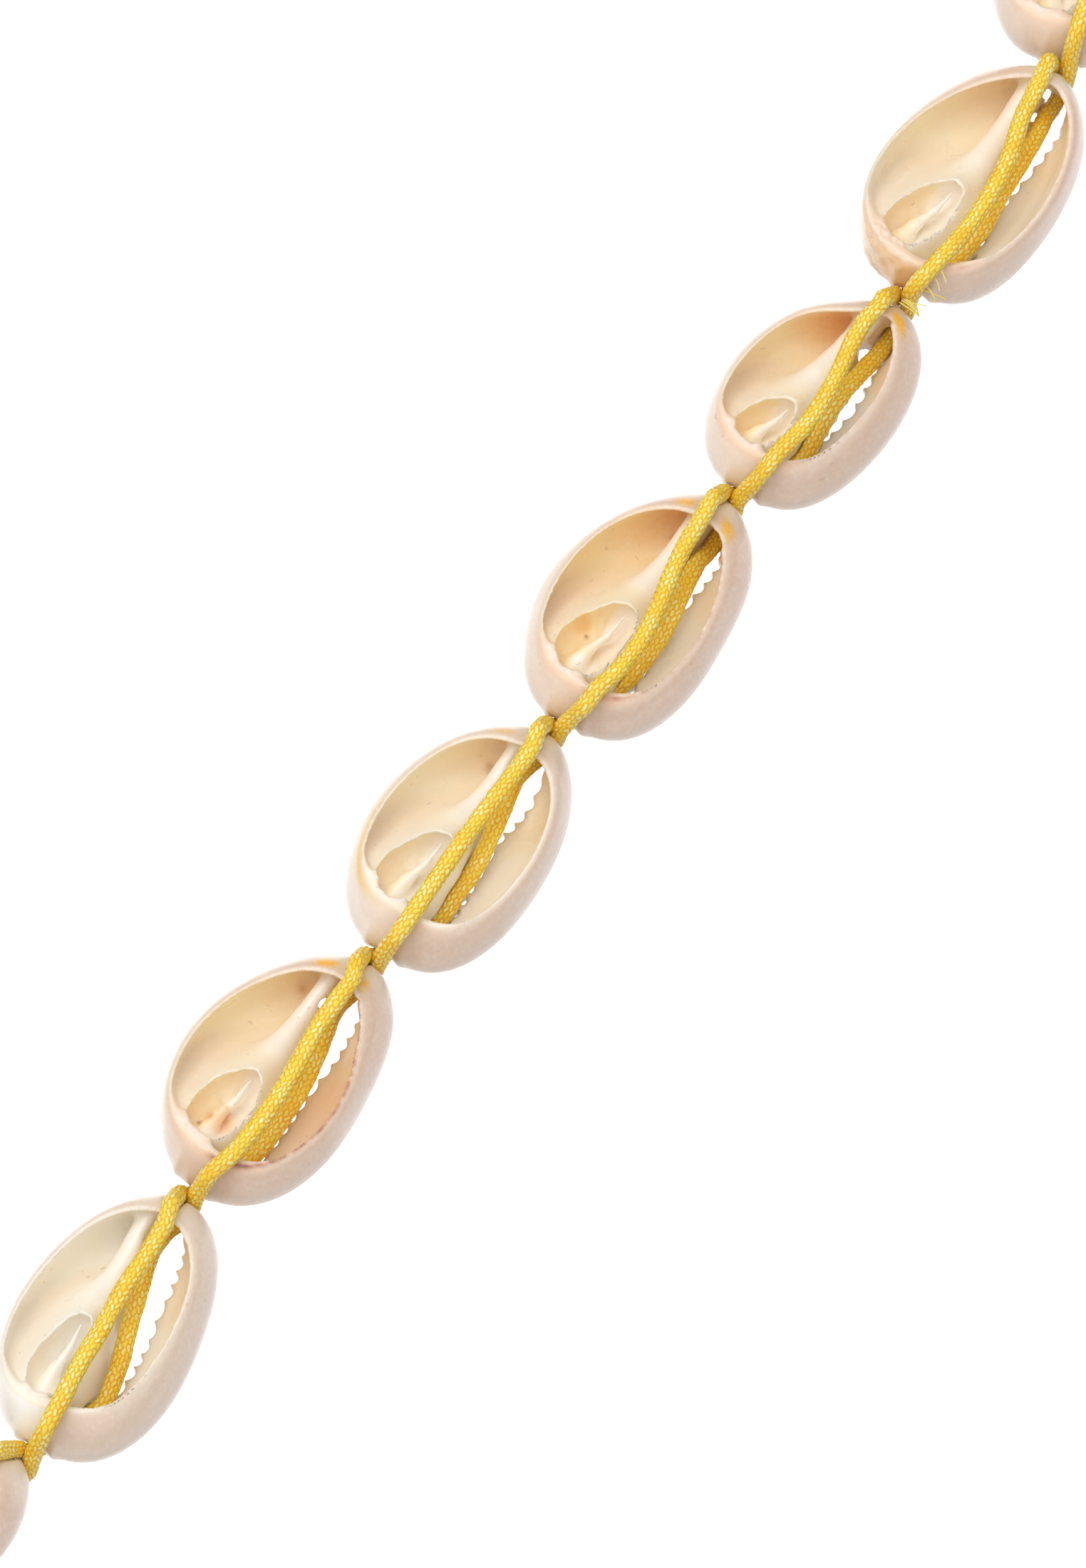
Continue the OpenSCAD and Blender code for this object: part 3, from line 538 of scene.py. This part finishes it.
def shellTint(x, y, z, gaps, form):
    def paint(base, color, weight):
        return base + (np.array(color) - base) * np.reshape(np.clip(weight, 0, 1), (-1, 1))
    halfLength, halfWidth = form["half"]
    u, v, n = x / halfLength, y / halfWidth, len(x)
    warm, blush, white = form["warm"], form["blush"], form["white"]
    angle = np.degrees(gaps["angle"])
    atRim, onSkin = bell(gaps["rim"], 0.38, 0.26), easeStep(0.5, 0.2, np.abs(gaps["outer"]))
    outerWall = np.tile(np.array((0.85, 0.755, 0.68)), (n, 1))
    outerWall = paint(outerWall, (0.875, 0.80, 0.735), white)
    # Painted light: the outer wall at the broad end on the left side, which faces the key light, is painted
    # lighter
    outerWall = paint(outerWall, (0.95, 0.87, 0.80), easeStep(0.2, -0.8, u) * easeStep(-0.4, 0.5, v) * 0.8)
    # Painted light: the same lit broad-left side is painted whiter still on whiter shells
    outerWall = paint(outerWall, (1.0, 0.99, 0.97),
                      1.3 * white ** 2 * easeStep(-0.2, -0.8, u) * easeStep(-0.3, 0.3, v))
    # Painted shade: the outer wall at the broad end on the right side, turned away from the key light, is
    # painted darker, less so on whiter shells
    outerWall = paint(outerWall, (0.87, 0.775, 0.70),
                      easeStep(0.2, -0.7, u) * easeStep(0.1, -0.6, v) * (0.8 - 0.6 * white))
    outerWall = paint(outerWall, (0.86, 0.72, 0.64), blush * 0.5 * easeStep(-0.6, 0.9, u - 0.5 * v))
    # Painted light: the outer wall at the narrow end is painted lighter, standing in for light glowing
    # through the thin arch where it lies in shade
    outerWall = paint(outerWall, (0.945, 0.89, 0.83), easeStep(0.75, 0.93, u) * 0.8)
    outerWall = paint(outerWall, (0.95, 0.89, 0.82), easeStep(1.1, 0.2, z) * 0.8)
    outerWall = paint(outerWall, (0.95, 0.79, 0.58),
                      form["stain"] * easeStep(-0.55, -0.8, u) * easeStep(-0.25, 0.1, v))
    for middle, spread, strength in form["streaks"]:
        away = (angle - middle + 180) % 360 - 180
        mark = bell(away, 0, spread) * atRim * onSkin
        outerWall = paint(outerWall, (0.98, 0.70, 0.20), 1.2 * strength * mark)
    chamber = np.tile(np.array((1.0, 0.96, 0.895)), (n, 1))
    chamber = paint(chamber, (0.975, 0.87, 0.67),
                    warm * (0.45 + 0.55 * easeStep(-0.9, 0.6, 0.7 * u + 0.7 * v)))
    amber = 0.8 * form["top"] * easeStep(0.15, 0.85, u) * easeStep(5.1, 3.4, z) * easeStep(0.08, 0.28, v)
    chamber = paint(chamber, (0.94, 0.67, 0.39), amber)
    chamber = paint(chamber, (0.925, 0.89 - 0.07 * warm, 0.83 - 0.14 * warm),
                    easeStep(0.2, -0.4, u) * easeStep(0.2, 0.6, v) * 0.9)
    lip = np.tile(np.array(form["lip"]), (n, 1))
    lip = paint(lip, (0.98, 0.94, 0.89), easeStep(0.3, -0.6, u) * 0.6)
    lip = paint(lip, (0.98, 0.87, 0.79), blush * 0.4 * easeStep(2.0, 4.5, z))
    side = easeStep(0.1, -0.15, v - np.interp(u, (-1, -0.3, 1), (-0.3, -0.2, 0.0)))[:, None]
    inside = chamber + (lip - chamber) * side
    inside = paint(inside, (0.985, 0.955 - 0.03 * blush, 0.915 - 0.06 * blush),
                   np.exp(-np.maximum(gaps["ridge"], 0) / 0.4))
    shade = 0.5 * bell(gaps["mound"], 0, 0.5) * easeStep(0.0, 0.3, gaps["pocket"]) * easeStep(-1.0, 0.5, y)
    inside = paint(inside, (0.95, 0.90, 0.82), shade)
    # Painted light: the low wall right of the ridge in the narrow half is painted warmer, standing in for
    # warm light bounced from the cord into its shade
    inside = paint(inside, (1.0, 0.90, 0.76),
                   easeStep(3.3, 2.3, z) * easeStep(1.0, 4.0, x) * easeStep(1.2, 0.4, y) * 0.8)
    edge = bell(gaps["pocket"], 0.03, 0.07) * easeStep(4.5, 4.9, z)
    inside = paint(inside, (0.99, 0.96, 0.91), edge * 0.15)
    cx, cy = form["hole"][:2]
    pit = easeStep(0.35, 0.05, gaps["pocket"]) * easeStep(5.2, 4.6, z)
    inside = paint(inside, (0.98, 0.87, 0.67), pit * easeStep(-0.4, 0.5, y - cy) * warm)
    inside = paint(inside, (0.97, 0.95 - 0.04 * warm, 0.91 - 0.08 * warm),
                   pit * easeStep(0.7, -0.2, y - cy) * 0.75)
    for mx, my, reach, color, strength in form["marks"]:
        away = ((x - mx) ** 2 + (y - my) ** 2) / reach ** 2
        here = np.exp(-away ** (2 if mx < 0 else 1)) * ((gaps["pocket"] < 0.15) | (mx > 0))
        inside = paint(inside, color, strength * here)
    tint = paint(outerWall, (0.97, 0.90, 0.83),
                 easeStep(0.35, 0.0, gaps["rim"]) * easeStep(0.7, 0.1, gaps["inner"]))
    clearOfSlit = easeStep(0.3, 0.9, z + 0.4 * (gaps["slit"] > 0.6))
    within = easeStep(0.30, 0.12, gaps["inner"]) * clearOfSlit * easeStep(0.03, 0.1, gaps["rim"])
    tint = tint + (inside - tint) * within[:, None]
    peach = bell(gaps["inner"], 0.1, 0.28) * easeStep(1.0, 0.3, gaps["rim"]) * easeStep(-0.3, 0.5, u)
    tint = paint(tint, (0.98, 0.82, 0.72), blush * 0.8 * peach)
    broadBand = easeStep(0.6, 0.2, gaps["rim"]) * easeStep(0.75, 0.35, gaps["inner"])
    broadBand = broadBand * easeStep(-0.5, -0.75, u)
    tint = paint(tint, (0.93, 0.80, 0.70), easeStep(0.1, 0.6, blush) * 0.85 * broadBand)
    brown = bell(gaps["inner"], 0.17, 0.13) * easeStep(1.0, 0.5, gaps["rim"]) * easeStep(0.0, -0.15, v)
    brown = brown * (0.75 + 0.35 * np.sin(2.3 * x) * np.sin(5.7 * x + 1))
    return paint(tint, (0.55, 0.29, 0.20), form["line"] * brown)

def newObject(name, data):
    made = bpy.data.objects.new(name, data)
    bpy.context.scene.collection.objects.link(made)
    return made

def selectOnly(active, *others):
    bpy.ops.object.select_all(action="DESELECT")
    for part in (active, *others):
        part.select_set(True)
    bpy.context.view_layer.objects.active = active

def readSpots(mesh):
    spots = np.zeros(len(mesh.vertices) * 3)
    mesh.vertices.foreach_get("co", spots)
    return spots.reshape(-1, 3)

def writeSpots(mesh, spots):
    mesh.vertices.foreach_set("co", spots.astype(np.float32).ravel())
    mesh.update()

def makeShell(i, step, triangles):
    form = formOf(i)
    halfLength, halfWidth = form["half"]
    low = np.array([-halfLength - 0.9, -halfWidth - 0.9, -3 * step])
    size = (-2 * low[:2]).tolist() + [form["rimHeight"] + 6 * step]
    counts = [int(s / step) + 1 for s in size]
    axes = [low[k] + step * np.arange(counts[k]) for k in range(3)]
    x, y, z = np.meshgrid(*axes, indexing="ij")
    points, faces = skinOfField(shellGaps(x, y, z, form)["solid"], low, step)
    name = f"shell_{i + 1:02d}_carved"
    mesh = bpy.data.meshes.new(name)
    mesh.from_pydata(points * mm, [], faces.tolist())
    mesh.validate()
    shell = newObject(name, mesh)
    selectOnly(shell)
    smooth = shell.modifiers.new("worn smooth", "SMOOTH")
    smooth.factor, smooth.iterations = 0.4, 2
    bpy.ops.object.modifier_apply(modifier=smooth.name)
    thin = shell.modifiers.new("fewer faces", "DECIMATE")
    thin.ratio = min(1.0, triangles / (2 * len(faces)))
    bpy.ops.object.modifier_apply(modifier=thin.name)
    bpy.ops.object.shade_smooth()
    mesh = shell.data
    spots = readSpots(mesh) / mm
    gaps = shellGaps(*spots.T, form)
    def keep(name, kind, key, values):
        layer = mesh.attributes.new(name, kind, "POINT")
        layer.data.foreach_set(key, np.ascontiguousarray(values, np.float32).ravel())
    tint = shellTint(*spots.T, gaps, form) ** 2.2
    keep("tint", "FLOAT_COLOR", "color", np.column_stack([tint, np.ones(len(tint))]))
    keep("gaps", "FLOAT_VECTOR", "vector", np.stack([gaps["outer"], gaps["inner"], gaps["rim"]], 1))
    placed = spots.copy()
    placed[:, :2] = turned(spots[:, 0], spots[:, 1], form["heading"]).T + form["centre"]
    writeSpots(mesh, placed * mm)
    return shell


def newGroup(name, outputs):
    tree = bpy.data.node_groups.new(name, "ShaderNodeTree")
    for title, kind in outputs:
        tree.interface.new_socket(title, in_out="OUTPUT", socket_type=kind)
    return tree, tree.nodes.new("NodeGroupOutput")

def sumNode(tree, kind, *values):
    node = tree.nodes.new("ShaderNodeMath")
    node.operation = kind
    for k, value in enumerate(values):
        if isinstance(value, (int, float)):
            node.inputs[k].default_value = value
        else:
            tree.links.new(value, node.inputs[k])
    return node.outputs[0]

def sums(tree):
    kinds = ("ADD", "SUBTRACT", "MULTIPLY")
    return [lambda *values, kind=kind: sumNode(tree, kind, *values) for kind in kinds]

def mixNode(tree, share, first, second, blend="MIX"):
    node = tree.nodes.new("ShaderNodeMix")
    node.data_type, node.blend_type = "RGBA", blend
    for socket, value in ((node.inputs[0], share), (node.inputs[6], first), (node.inputs[7], second)):
        if isinstance(value, (int, float)):
            socket.default_value = value
        elif isinstance(value, tuple):
            socket.default_value = (*value, 1)
        else:
            tree.links.new(value, socket)
    return node.outputs[2]

def noiseNode(tree, vector, scale, detail):
    node = tree.nodes.new("ShaderNodeTexNoise")
    node.inputs["Scale"].default_value = scale
    node.inputs["Detail"].default_value = detail
    tree.links.new(vector, node.inputs["Vector"])
    return node.outputs["Fac"]

def rangeNode(tree, value, low, high, least=0.0, most=1.0):
    node = tree.nodes.new("ShaderNodeMapRange")
    node.interpolation_type = "SMOOTHSTEP"
    tree.links.new(value, node.inputs["Value"])
    for title, number in (("From Min", low), ("From Max", high), ("To Min", least), ("To Max", most)):
        node.inputs[title].default_value = number
    return node.outputs["Result"]

def attributeNode(tree, name, output):
    node = tree.nodes.new("ShaderNodeAttribute")
    node.attribute_name = name
    return node.outputs[output]

# The shell's colour: the tint attribute, which holds painted light and shade besides the shell's own colours,
# with clouds, grain, specks and the lighter cut rim
def shellWearAndPaintedLight():
    tree, out = newGroup("shell wear and painted light", (("Color", "NodeSocketColor"), ("Gloss", "NodeSocketFloat"),
                                        ("Height", "NodeSocketFloat"), ("Coat", "NodeSocketFloat")))
    add, less, times = sums(tree)
    tint = attributeNode(tree, "tint", "Color")
    spot = tree.nodes.new("ShaderNodeTexCoord").outputs["Object"]
    gaps = tree.nodes.new("ShaderNodeSeparateXYZ")
    tree.links.new(attributeNode(tree, "gaps", "Vector"), gaps.inputs[0])
    cloud = noiseNode(tree, spot, 190, 4)
    grain = noiseNode(tree, spot, 2600, 3)
    cut = rangeNode(tree, gaps.outputs["Z"], 0.10, 0.02)
    color = mixNode(tree, rangeNode(tree, cloud, 0.35, 0.75, 0.0, 0.30), tint, (0.97, 0.90, 0.82), "MULTIPLY")
    color = mixNode(tree, rangeNode(tree, grain, 0.4, 0.75, 0.0, 0.12), color, (1.0, 0.97, 0.92), "SCREEN")
    pit = noiseNode(tree, spot, 2300, 0)
    pits = times(rangeNode(tree, pit, 0.78, 0.81), rangeNode(tree, cloud, 0.5, 0.6))
    color = mixNode(tree, times(pits, 0.4), color, (0.55, 0.38, 0.24))
    color = mixNode(tree, times(cut, rangeNode(tree, grain, 0.3, 0.7, 0.1, 0.6)), color, (0.95, 0.92, 0.88))
    gloss = add(rangeNode(tree, cloud, 0.3, 0.7, 0.26, 0.40), times(cut, 0.25))
    height = add(times(grain, add(times(cut, 0.8), 0.12)), times(cloud, 0.25))
    coat = times(less(1.0, cut), 0.3)
    for value, socket in zip((color, gloss, height, coat), out.inputs):
        tree.links.new(value, socket)
    return tree

def groupNode(tree, group):
    node = tree.nodes.new("ShaderNodeGroup")
    node.node_tree = group
    return node

def bumpNode(tree, height, strength, distance, shader):
    node = tree.nodes.new("ShaderNodeBump")
    node.inputs["Strength"].default_value = strength
    node.inputs["Distance"].default_value = distance
    tree.links.new(height, node.inputs["Height"])
    tree.links.new(node.outputs[0], shader.inputs["Normal"])

def newMaterial(name):
    material = bpy.data.materials.new(name)
    material.use_nodes = True
    return material, material.node_tree, material.node_tree.nodes["Principled BSDF"]

def shellFinish():
    material, tree, shader = newMaterial("polished cowrie")
    # The group's colour carries the painted light and shade of the tint as well as the wear
    wear = groupNode(tree, shellWearAndPaintedLight())
    tree.links.new(wear.outputs["Color"], shader.inputs["Base Color"])
    tree.links.new(wear.outputs["Gloss"], shader.inputs["Roughness"])
    tree.links.new(wear.outputs["Coat"], shader.inputs["Coat Weight"])
    shader.inputs["Coat Roughness"].default_value = 0.2
    shader.inputs["Subsurface Weight"].default_value = 0.5
    shader.inputs["Subsurface Radius"].default_value = (1.0, 0.85, 0.7)
    shader.inputs["Subsurface Scale"].default_value = 0.0018
    bumpNode(tree, wear.outputs["Height"], 0.25, 0.00012, shader)
    return material

# The two strands and the knot
braid = {"yarns": 6, "lay": 3.45, "radius": 0.595, "relief": 0.09, "round": 24, "step": 0.145,
         "lean": 22, "spread": 0.62, "fleckLength": 0.44, "fleckWidth": 0.155}

def braidHeight(angle, along):
    turns = braid["yarns"] * angle / (2 * math.pi)
    twist = braid["yarns"] * along / braid["lay"]
    a, b = turns - twist, turns + twist
    i, j = np.round(a), np.round(b)
    p = (a - i + b - j) / 2 * 2 * math.pi * braid["spread"] / braid["yarns"]
    q = (b - j - a + i) / 2 * braid["lay"] / braid["yarns"]
    sign = 1 - 2 * ((i + j) % 2)
    c, s = math.cos(math.radians(braid["lean"])), math.sin(math.radians(braid["lean"]))
    wide, long = (p * c - sign * q * s) / braid["fleckWidth"], (q * c + sign * p * s) / braid["fleckLength"]
    return np.sqrt(np.clip(1 - wide ** 2 - long ** 2, 0, 1))

def braidedTube(name, route, closed=True):
    count, around = len(route), braid["round"]
    aim = np.gradient(route, axis=0)
    aim /= np.linalg.norm(aim, axis=1)[:, None]
    flat = np.zeros((count, 3))
    flat[0] = np.cross((0, 0, 1), aim[0]) if abs(aim[0][2]) < 0.9 else (1, 0, 0)
    for k in range(count):
        flat[k] = flat[k] if k == 0 else flat[k - 1]
        flat[k] -= aim[k] * flat[k].dot(aim[k])
        flat[k] /= np.linalg.norm(flat[k])
    up = np.cross(aim, flat)
    along = lengthAlong(route)
    angle = np.arange(around) * 2 * math.pi / around
    angle, along2 = np.meshgrid(angle, along)
    radius = braid["radius"] + braid["relief"] * braidHeight(angle, along2)
    radius *= 1 + 0.025 * np.sin(1.3 * along2) + 0.02 * np.sin(3.1 * along2 + 1)
    ends = np.minimum(along, along[-1] - along)
    radius *= np.sqrt(np.clip(ends / 0.15, 0.0, 1))[:, None] * 0.999 + 0.001
    points = route[:, None, :] + radius[:, :, None] * (
        np.cos(angle)[:, :, None] * flat[:, None, :] + np.sin(angle)[:, :, None] * up[:, None, :])
    points = points.reshape(-1, 3)
    rows, cols = np.meshgrid(np.arange(count - 1), np.arange(around), indexing="ij")
    nxt = (cols + 1) % around
    faces = np.stack([rows * around + cols, rows * around + nxt, (rows + 1) * around + nxt,
                      (rows + 1) * around + cols], -1)
    caps = [list(range(around))[::-1], list(range((count - 1) * around, count * around))]
    mesh = bpy.data.meshes.new(name)
    mesh.from_pydata(points * mm, [], faces.reshape(-1, 4).tolist() + caps)
    uv = mesh.uv_layers.new(name="braid")
    corners = np.zeros((len(mesh.loops), 2), np.float32)
    u0, v0 = cols / around, along[rows] / braid["lay"]
    u1, v1 = (cols + 1) / around, along[rows + 1] / braid["lay"]
    body = np.stack([np.stack(pair, -1) for pair in ((u0, v0), (u1, v0), (u1, v1), (u0, v1))], -2)
    corners[:body.size // 2] = body.reshape(-1, 2)
    uv.data.foreach_set("uv", corners.ravel())
    # Painted shade: where the strand runs low inside the shells it gets a weight for painting it a deeper
    # orange
    paintedLowShade = np.repeat(easeStep(4.6, 2.2, route[:, 2]) if closed else np.zeros(count), around)
    mesh.attributes.new("paintedLowShade", "FLOAT", "POINT").data.foreach_set("value", paintedLowShade.astype(np.float32))
    mesh.polygons.foreach_set("use_smooth", [True] * len(mesh.polygons))
    mesh.update()
    return newObject(name, mesh)

def braidWeave():
    tree, out = newGroup("braid weave", (("Color", "NodeSocketColor"), ("Gloss", "NodeSocketFloat"),
                                         ("Height", "NodeSocketFloat")))
    add, less, times = sums(tree)
    where = tree.nodes.new("ShaderNodeUVMap")
    where.uv_map = "braid"
    parts = tree.nodes.new("ShaderNodeSeparateXYZ")
    tree.links.new(where.outputs[0], parts.inputs[0])
    turns = times(parts.outputs[0], braid["yarns"])
    twist = times(parts.outputs[1], braid["yarns"])
    spot = tree.nodes.new("ShaderNodeTexCoord").outputs["Object"]
    sway = times(less(noiseNode(tree, spot, 700, 1), 0.5), 0.9)
    turns = add(turns, sway)
    a, b = less(turns, twist), add(turns, twist)
    i, j = sumNode(tree, "ROUND", a), sumNode(tree, "ROUND", b)
    offA, offB = less(a, i), less(b, j)
    p = times(add(offA, offB), math.pi * braid["spread"] / braid["yarns"])
    q = times(less(offB, offA), braid["lay"] / braid["yarns"] / 2)
    odd = sumNode(tree, "PINGPONG", add(i, j), 1.0)
    sign = less(1.0, times(odd, 2.0))
    c, s = math.cos(math.radians(braid["lean"])), math.sin(math.radians(braid["lean"]))
    wide = less(times(p, c), times(times(q, s), sign))
    long = add(times(q, c), times(times(p, s), sign))
    wide = sumNode(tree, "DIVIDE", wide, braid["fleckWidth"])
    long = sumNode(tree, "DIVIDE", long, braid["fleckLength"])
    round2 = add(times(wide, wide), times(long, long))
    top = sumNode(tree, "SQRT", sumNode(tree, "MAXIMUM", less(1.0, round2), 0.0))
    fibre = sumNode(tree, "SINE", times(wide, 9.0))
    cell = tree.nodes.new("ShaderNodeCombineXYZ")
    tree.links.new(i, cell.inputs[0])
    tree.links.new(j, cell.inputs[1])
    chance = tree.nodes.new("ShaderNodeTexWhiteNoise")
    tree.links.new(cell.outputs[0], chance.inputs["Vector"])
    patch = noiseNode(tree, spot, 1500, 2)
    drift = noiseNode(tree, spot, 420, 2)
    height = add(top, times(fibre, 0.06))
    # Between the flecks the colour is painted a darker orange, as shade in the gaps between the yarns
    color = mixNode(tree, rangeNode(tree, top, 0.0, 0.45), (0.88, 0.49, 0.012), (0.985, 0.725, 0.05))
    # Painted highlight: the middles of some flecks are painted pale, as sheen on the yarns
    slim = times(wide, 1.55)
    slim = add(times(slim, slim), times(times(long, long), 0.8))
    pale = times(rangeNode(tree, slim, 1.0, 0.25), rangeNode(tree, chance.outputs["Value"], 0.25, 0.85))
    pale = times(pale, rangeNode(tree, patch, 0.35, 0.55, 0.4, 1.0))
    color = mixNode(tree, pale, color, (1.0, 0.92, 0.42))
    color = mixNode(tree, rangeNode(tree, fibre, 0.2, 1.0, 0.0, 0.15), color, (1.0, 0.93, 0.50))
    color = mixNode(tree, rangeNode(tree, drift, 0.42, 0.68, 0.0, 0.6), color, (0.98, 0.82, 0.40), "MULTIPLY")
    # Painted shade: the low parts of the strands are painted a deeper orange
    color = mixNode(tree, times(attributeNode(tree, "paintedLowShade", "Fac"), 0.4), color, (1.0, 0.82, 0.32),
                    "MULTIPLY")
    gloss = rangeNode(tree, top, 0.0, 1.0, 0.55, 0.28)
    for value, socket in zip((color, gloss, height), out.inputs):
        tree.links.new(value, socket)
    return tree

def cordFinish():
    material, tree, shader = newMaterial("yellow braid")
    weave = groupNode(tree, braidWeave())
    tree.links.new(weave.outputs["Color"], shader.inputs["Base Color"])
    tree.links.new(weave.outputs["Gloss"], shader.inputs["Roughness"])
    shader.inputs["Subsurface Weight"].default_value = 0.35
    shader.inputs["Subsurface Radius"].default_value = (1.0, 0.6, 0.12)
    shader.inputs["Subsurface Scale"].default_value = 0.0007
    bumpNode(tree, weave.outputs["Height"], 0.6, 0.00016, shader)
    return material

inView = range(5, 14)
nearDetail, farDetail = (0.155, 35000), (0.23, 18000)  # grid step in millimetres, triangles
shellSkin, cordSkin = shellFinish(), cordFinish()
for i in range(len(shellRows)):
    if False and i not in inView:
        continue
    shell = makeShell(i, *(nearDetail if i in inView else farDetail))
    shell.data.materials.append(shellSkin)
    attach(shell, "root")
    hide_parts(f"shell_{i + 1:02d}")
print("shells carved")

# Frayed yarns in the joint between shells 11 and 12: shell, then start, bend and end in its frame
strayYarns = [
    (10, (9.1, -0.6, 5.3), (9.0, -1.6, 5.9), (8.75, -2.5, 5.6)),
    (10, (9.5, -0.7, 5.0), (9.3, -1.9, 5.6), (8.76, -2.45, 5.6)),
    (10, (8.8, -0.6, 5.5), (8.7, -1.5, 5.9), (8.75, -2.4, 5.65)),
    (10, (9.7, -0.9, 4.6), (9.7, -1.7, 5.3), (8.8, -2.3, 5.6)),
    (10, (9.3, -0.6, 5.2), (9.1, -1.4, 6.0), (8.8, -2.2, 5.7)),
    (10, (9.3, -0.9, 4.9), (9.5, -1.7, 5.6), (9.9, -2.3, 5.3)),
    (11, (-9.4, -1.1, 5.4), (-9.6, -1.9, 5.9), (-10.2, -2.4, 5.3)),
    (11, (-8.9, -1.1, 5.8), (-8.9, -1.8, 6.4), (-9.6, -2.6, 5.8)),
    (11, (-10.2, -0.9, 5.0), (-10.4, -1.8, 5.5), (-11.0, -2.6, 4.8)),
    (11, (-10.6, -0.8, 4.6), (-10.6, -1.9, 5.2), (-10.3, -3.0, 4.7))]

def frayCord(cord):
    ways = []
    for i, *places in strayYarns:
        centre = (joints[i] + joints[i + 1]) / 2
        start, bend, end = [np.array([*(centre + turned(x, y, shellRows[i][0])), z]) for x, y, z in places]
        t = np.linspace(0, 1, 14)[:, None]
        ways.append((1 - t) ** 2 * start + 2 * t * (1 - t) * bend + t * t * end)
    curve = bpy.data.curves.new("stray yarns", "CURVE")
    curve.dimensions, curve.bevel_depth, curve.bevel_resolution = "3D", 0.05 * mm, 1
    for way in ways:
        line = curve.splines.new("POLY")
        line.points.add(len(way) - 1)
        line.points.foreach_set("co", np.column_stack([way * mm, np.ones(len(way))]).ravel())
    curve.use_fill_caps = True
    yarns = newObject("strayYarns", curve)
    selectOnly(yarns)
    bpy.ops.object.convert(target="MESH")
    uv = yarns.data.uv_layers.new(name="braid")
    uv.data.foreach_set("uv", [0.0, 0.0] * len(yarns.data.loops))
    yarns.data.materials.clear()
    yarns.data.materials.append(cordSkin)
    selectOnly(cord, yarns)
    bpy.ops.object.join()

for name, route in zip(("cord_a", "cord_b"), routes):
    cord = braidedTube(name + "_braided", roundedRoute(route, braid["step"]))
    cord.data.materials.append(cordSkin)
    if name == "cord_b":
        frayCord(cord)
    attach(cord, "root")
    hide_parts(name)
print("cords braided")

# The hidden closure: about four turns of the braid round the two ends
knotForm = {"turns": 4.2, "middle": 1.5, "pitch": 1.24, "step": 0.16, "endAside": 0.6, "endStep": 0.2}

def makeKnot(form):
    half = stringPlan["knotLength"] / 2
    reach = form["turns"] * form["pitch"] / 2
    way = np.arange(0, form["turns"] * 2 * math.pi, form["step"] / form["middle"])
    ahead = way / (2 * math.pi) * form["pitch"] - reach
    coil = np.stack([ahead, form["middle"] * np.cos(way), form["middle"] * np.sin(way)], 1)
    knot = braidedTube("closure_knot_coil", coil, False)
    stubs = []
    for side in (1, -1):
        along = np.arange(-half, half + 0.01, form["endStep"])
        lie = np.stack([along, np.full_like(along, side * form["endAside"]), np.zeros_like(along)], 1)
        stubs.append(braidedTube("closure_knot_end", lie, False))
    selectOnly(knot, *stubs)
    bpy.ops.object.join()
    spots = readSpots(knot.data)
    aside = turned(spots[:, 0], spots[:, 1], knotHeading).T + knotSpot * mm
    writeSpots(knot.data, np.column_stack([aside, spots[:, 2] + stringPlan["knotWidth"] / 2 * mm]))
    knot.data.materials.append(cordSkin)
    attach(knot, "root")
    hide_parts("closure_knot")

makeKnot(knotForm)
print("knot coiled")

# Floor and light
studio = {"floorColor": (0.9, 0.9, 0.9), "floorGlow": 1.0, "keySpot": (-0.05, 0.30, 0.92), "keySize": 0.9,
          "keyPower": 6.6, "fillSpot": (-0.2, -0.55, 0.65), "fillSize": 0.9, "fillPower": 2.2,
          "sky": 0.45, "ground": 0.28}

def makeFloor():
    bpy.ops.object.select_all(action="DESELECT")
    bpy.ops.mesh.primitive_plane_add(size=3.0, location=(0, 0, -0.0002))
    floor = bpy.context.object
    floor.name = "paleFloor"
    paper, shader = newMaterial("pale paper")[::2]
    shader.inputs["Base Color"].default_value = (*studio["floorColor"], 1)
    shader.inputs["Roughness"].default_value = 0.9
    shader.inputs["Emission Color"].default_value = (1, 1, 1, 1)
    shader.inputs["Emission Strength"].default_value = studio["floorGlow"]
    floor.data.materials.append(paper)
    floor.visible_diffuse = False

def softLight(name, spot, size, power):
    bpy.ops.object.light_add(type="AREA", location=spot)
    light = bpy.context.object
    light.name = name
    light.data.size, light.data.energy = size, power
    light.rotation_euler = (-Vector(spot)).to_track_quat("-Z", "Y").to_euler()

makeFloor()
softLight("keyLight", studio["keySpot"], studio["keySize"], studio["keyPower"])
softLight("fillLight", studio["fillSpot"], studio["fillSize"], studio["fillPower"])
world = bpy.data.worlds.new("studio air")
world.use_nodes = True
air = world.node_tree
height = air.nodes.new("ShaderNodeSeparateXYZ")
air.links.new(air.nodes.new("ShaderNodeTexCoord").outputs["Generated"], height.inputs[0])
air.links.new(rangeNode(air, height.outputs[2], -0.25, 0.35, studio["ground"], studio["sky"]),
              air.nodes["Background"].inputs["Strength"])
air.nodes["Background"].inputs["Color"].default_value = (1.0, 0.975, 0.94, 1)
bpy.context.scene.world = world
bpy.context.scene.view_settings.view_transform = "Standard"
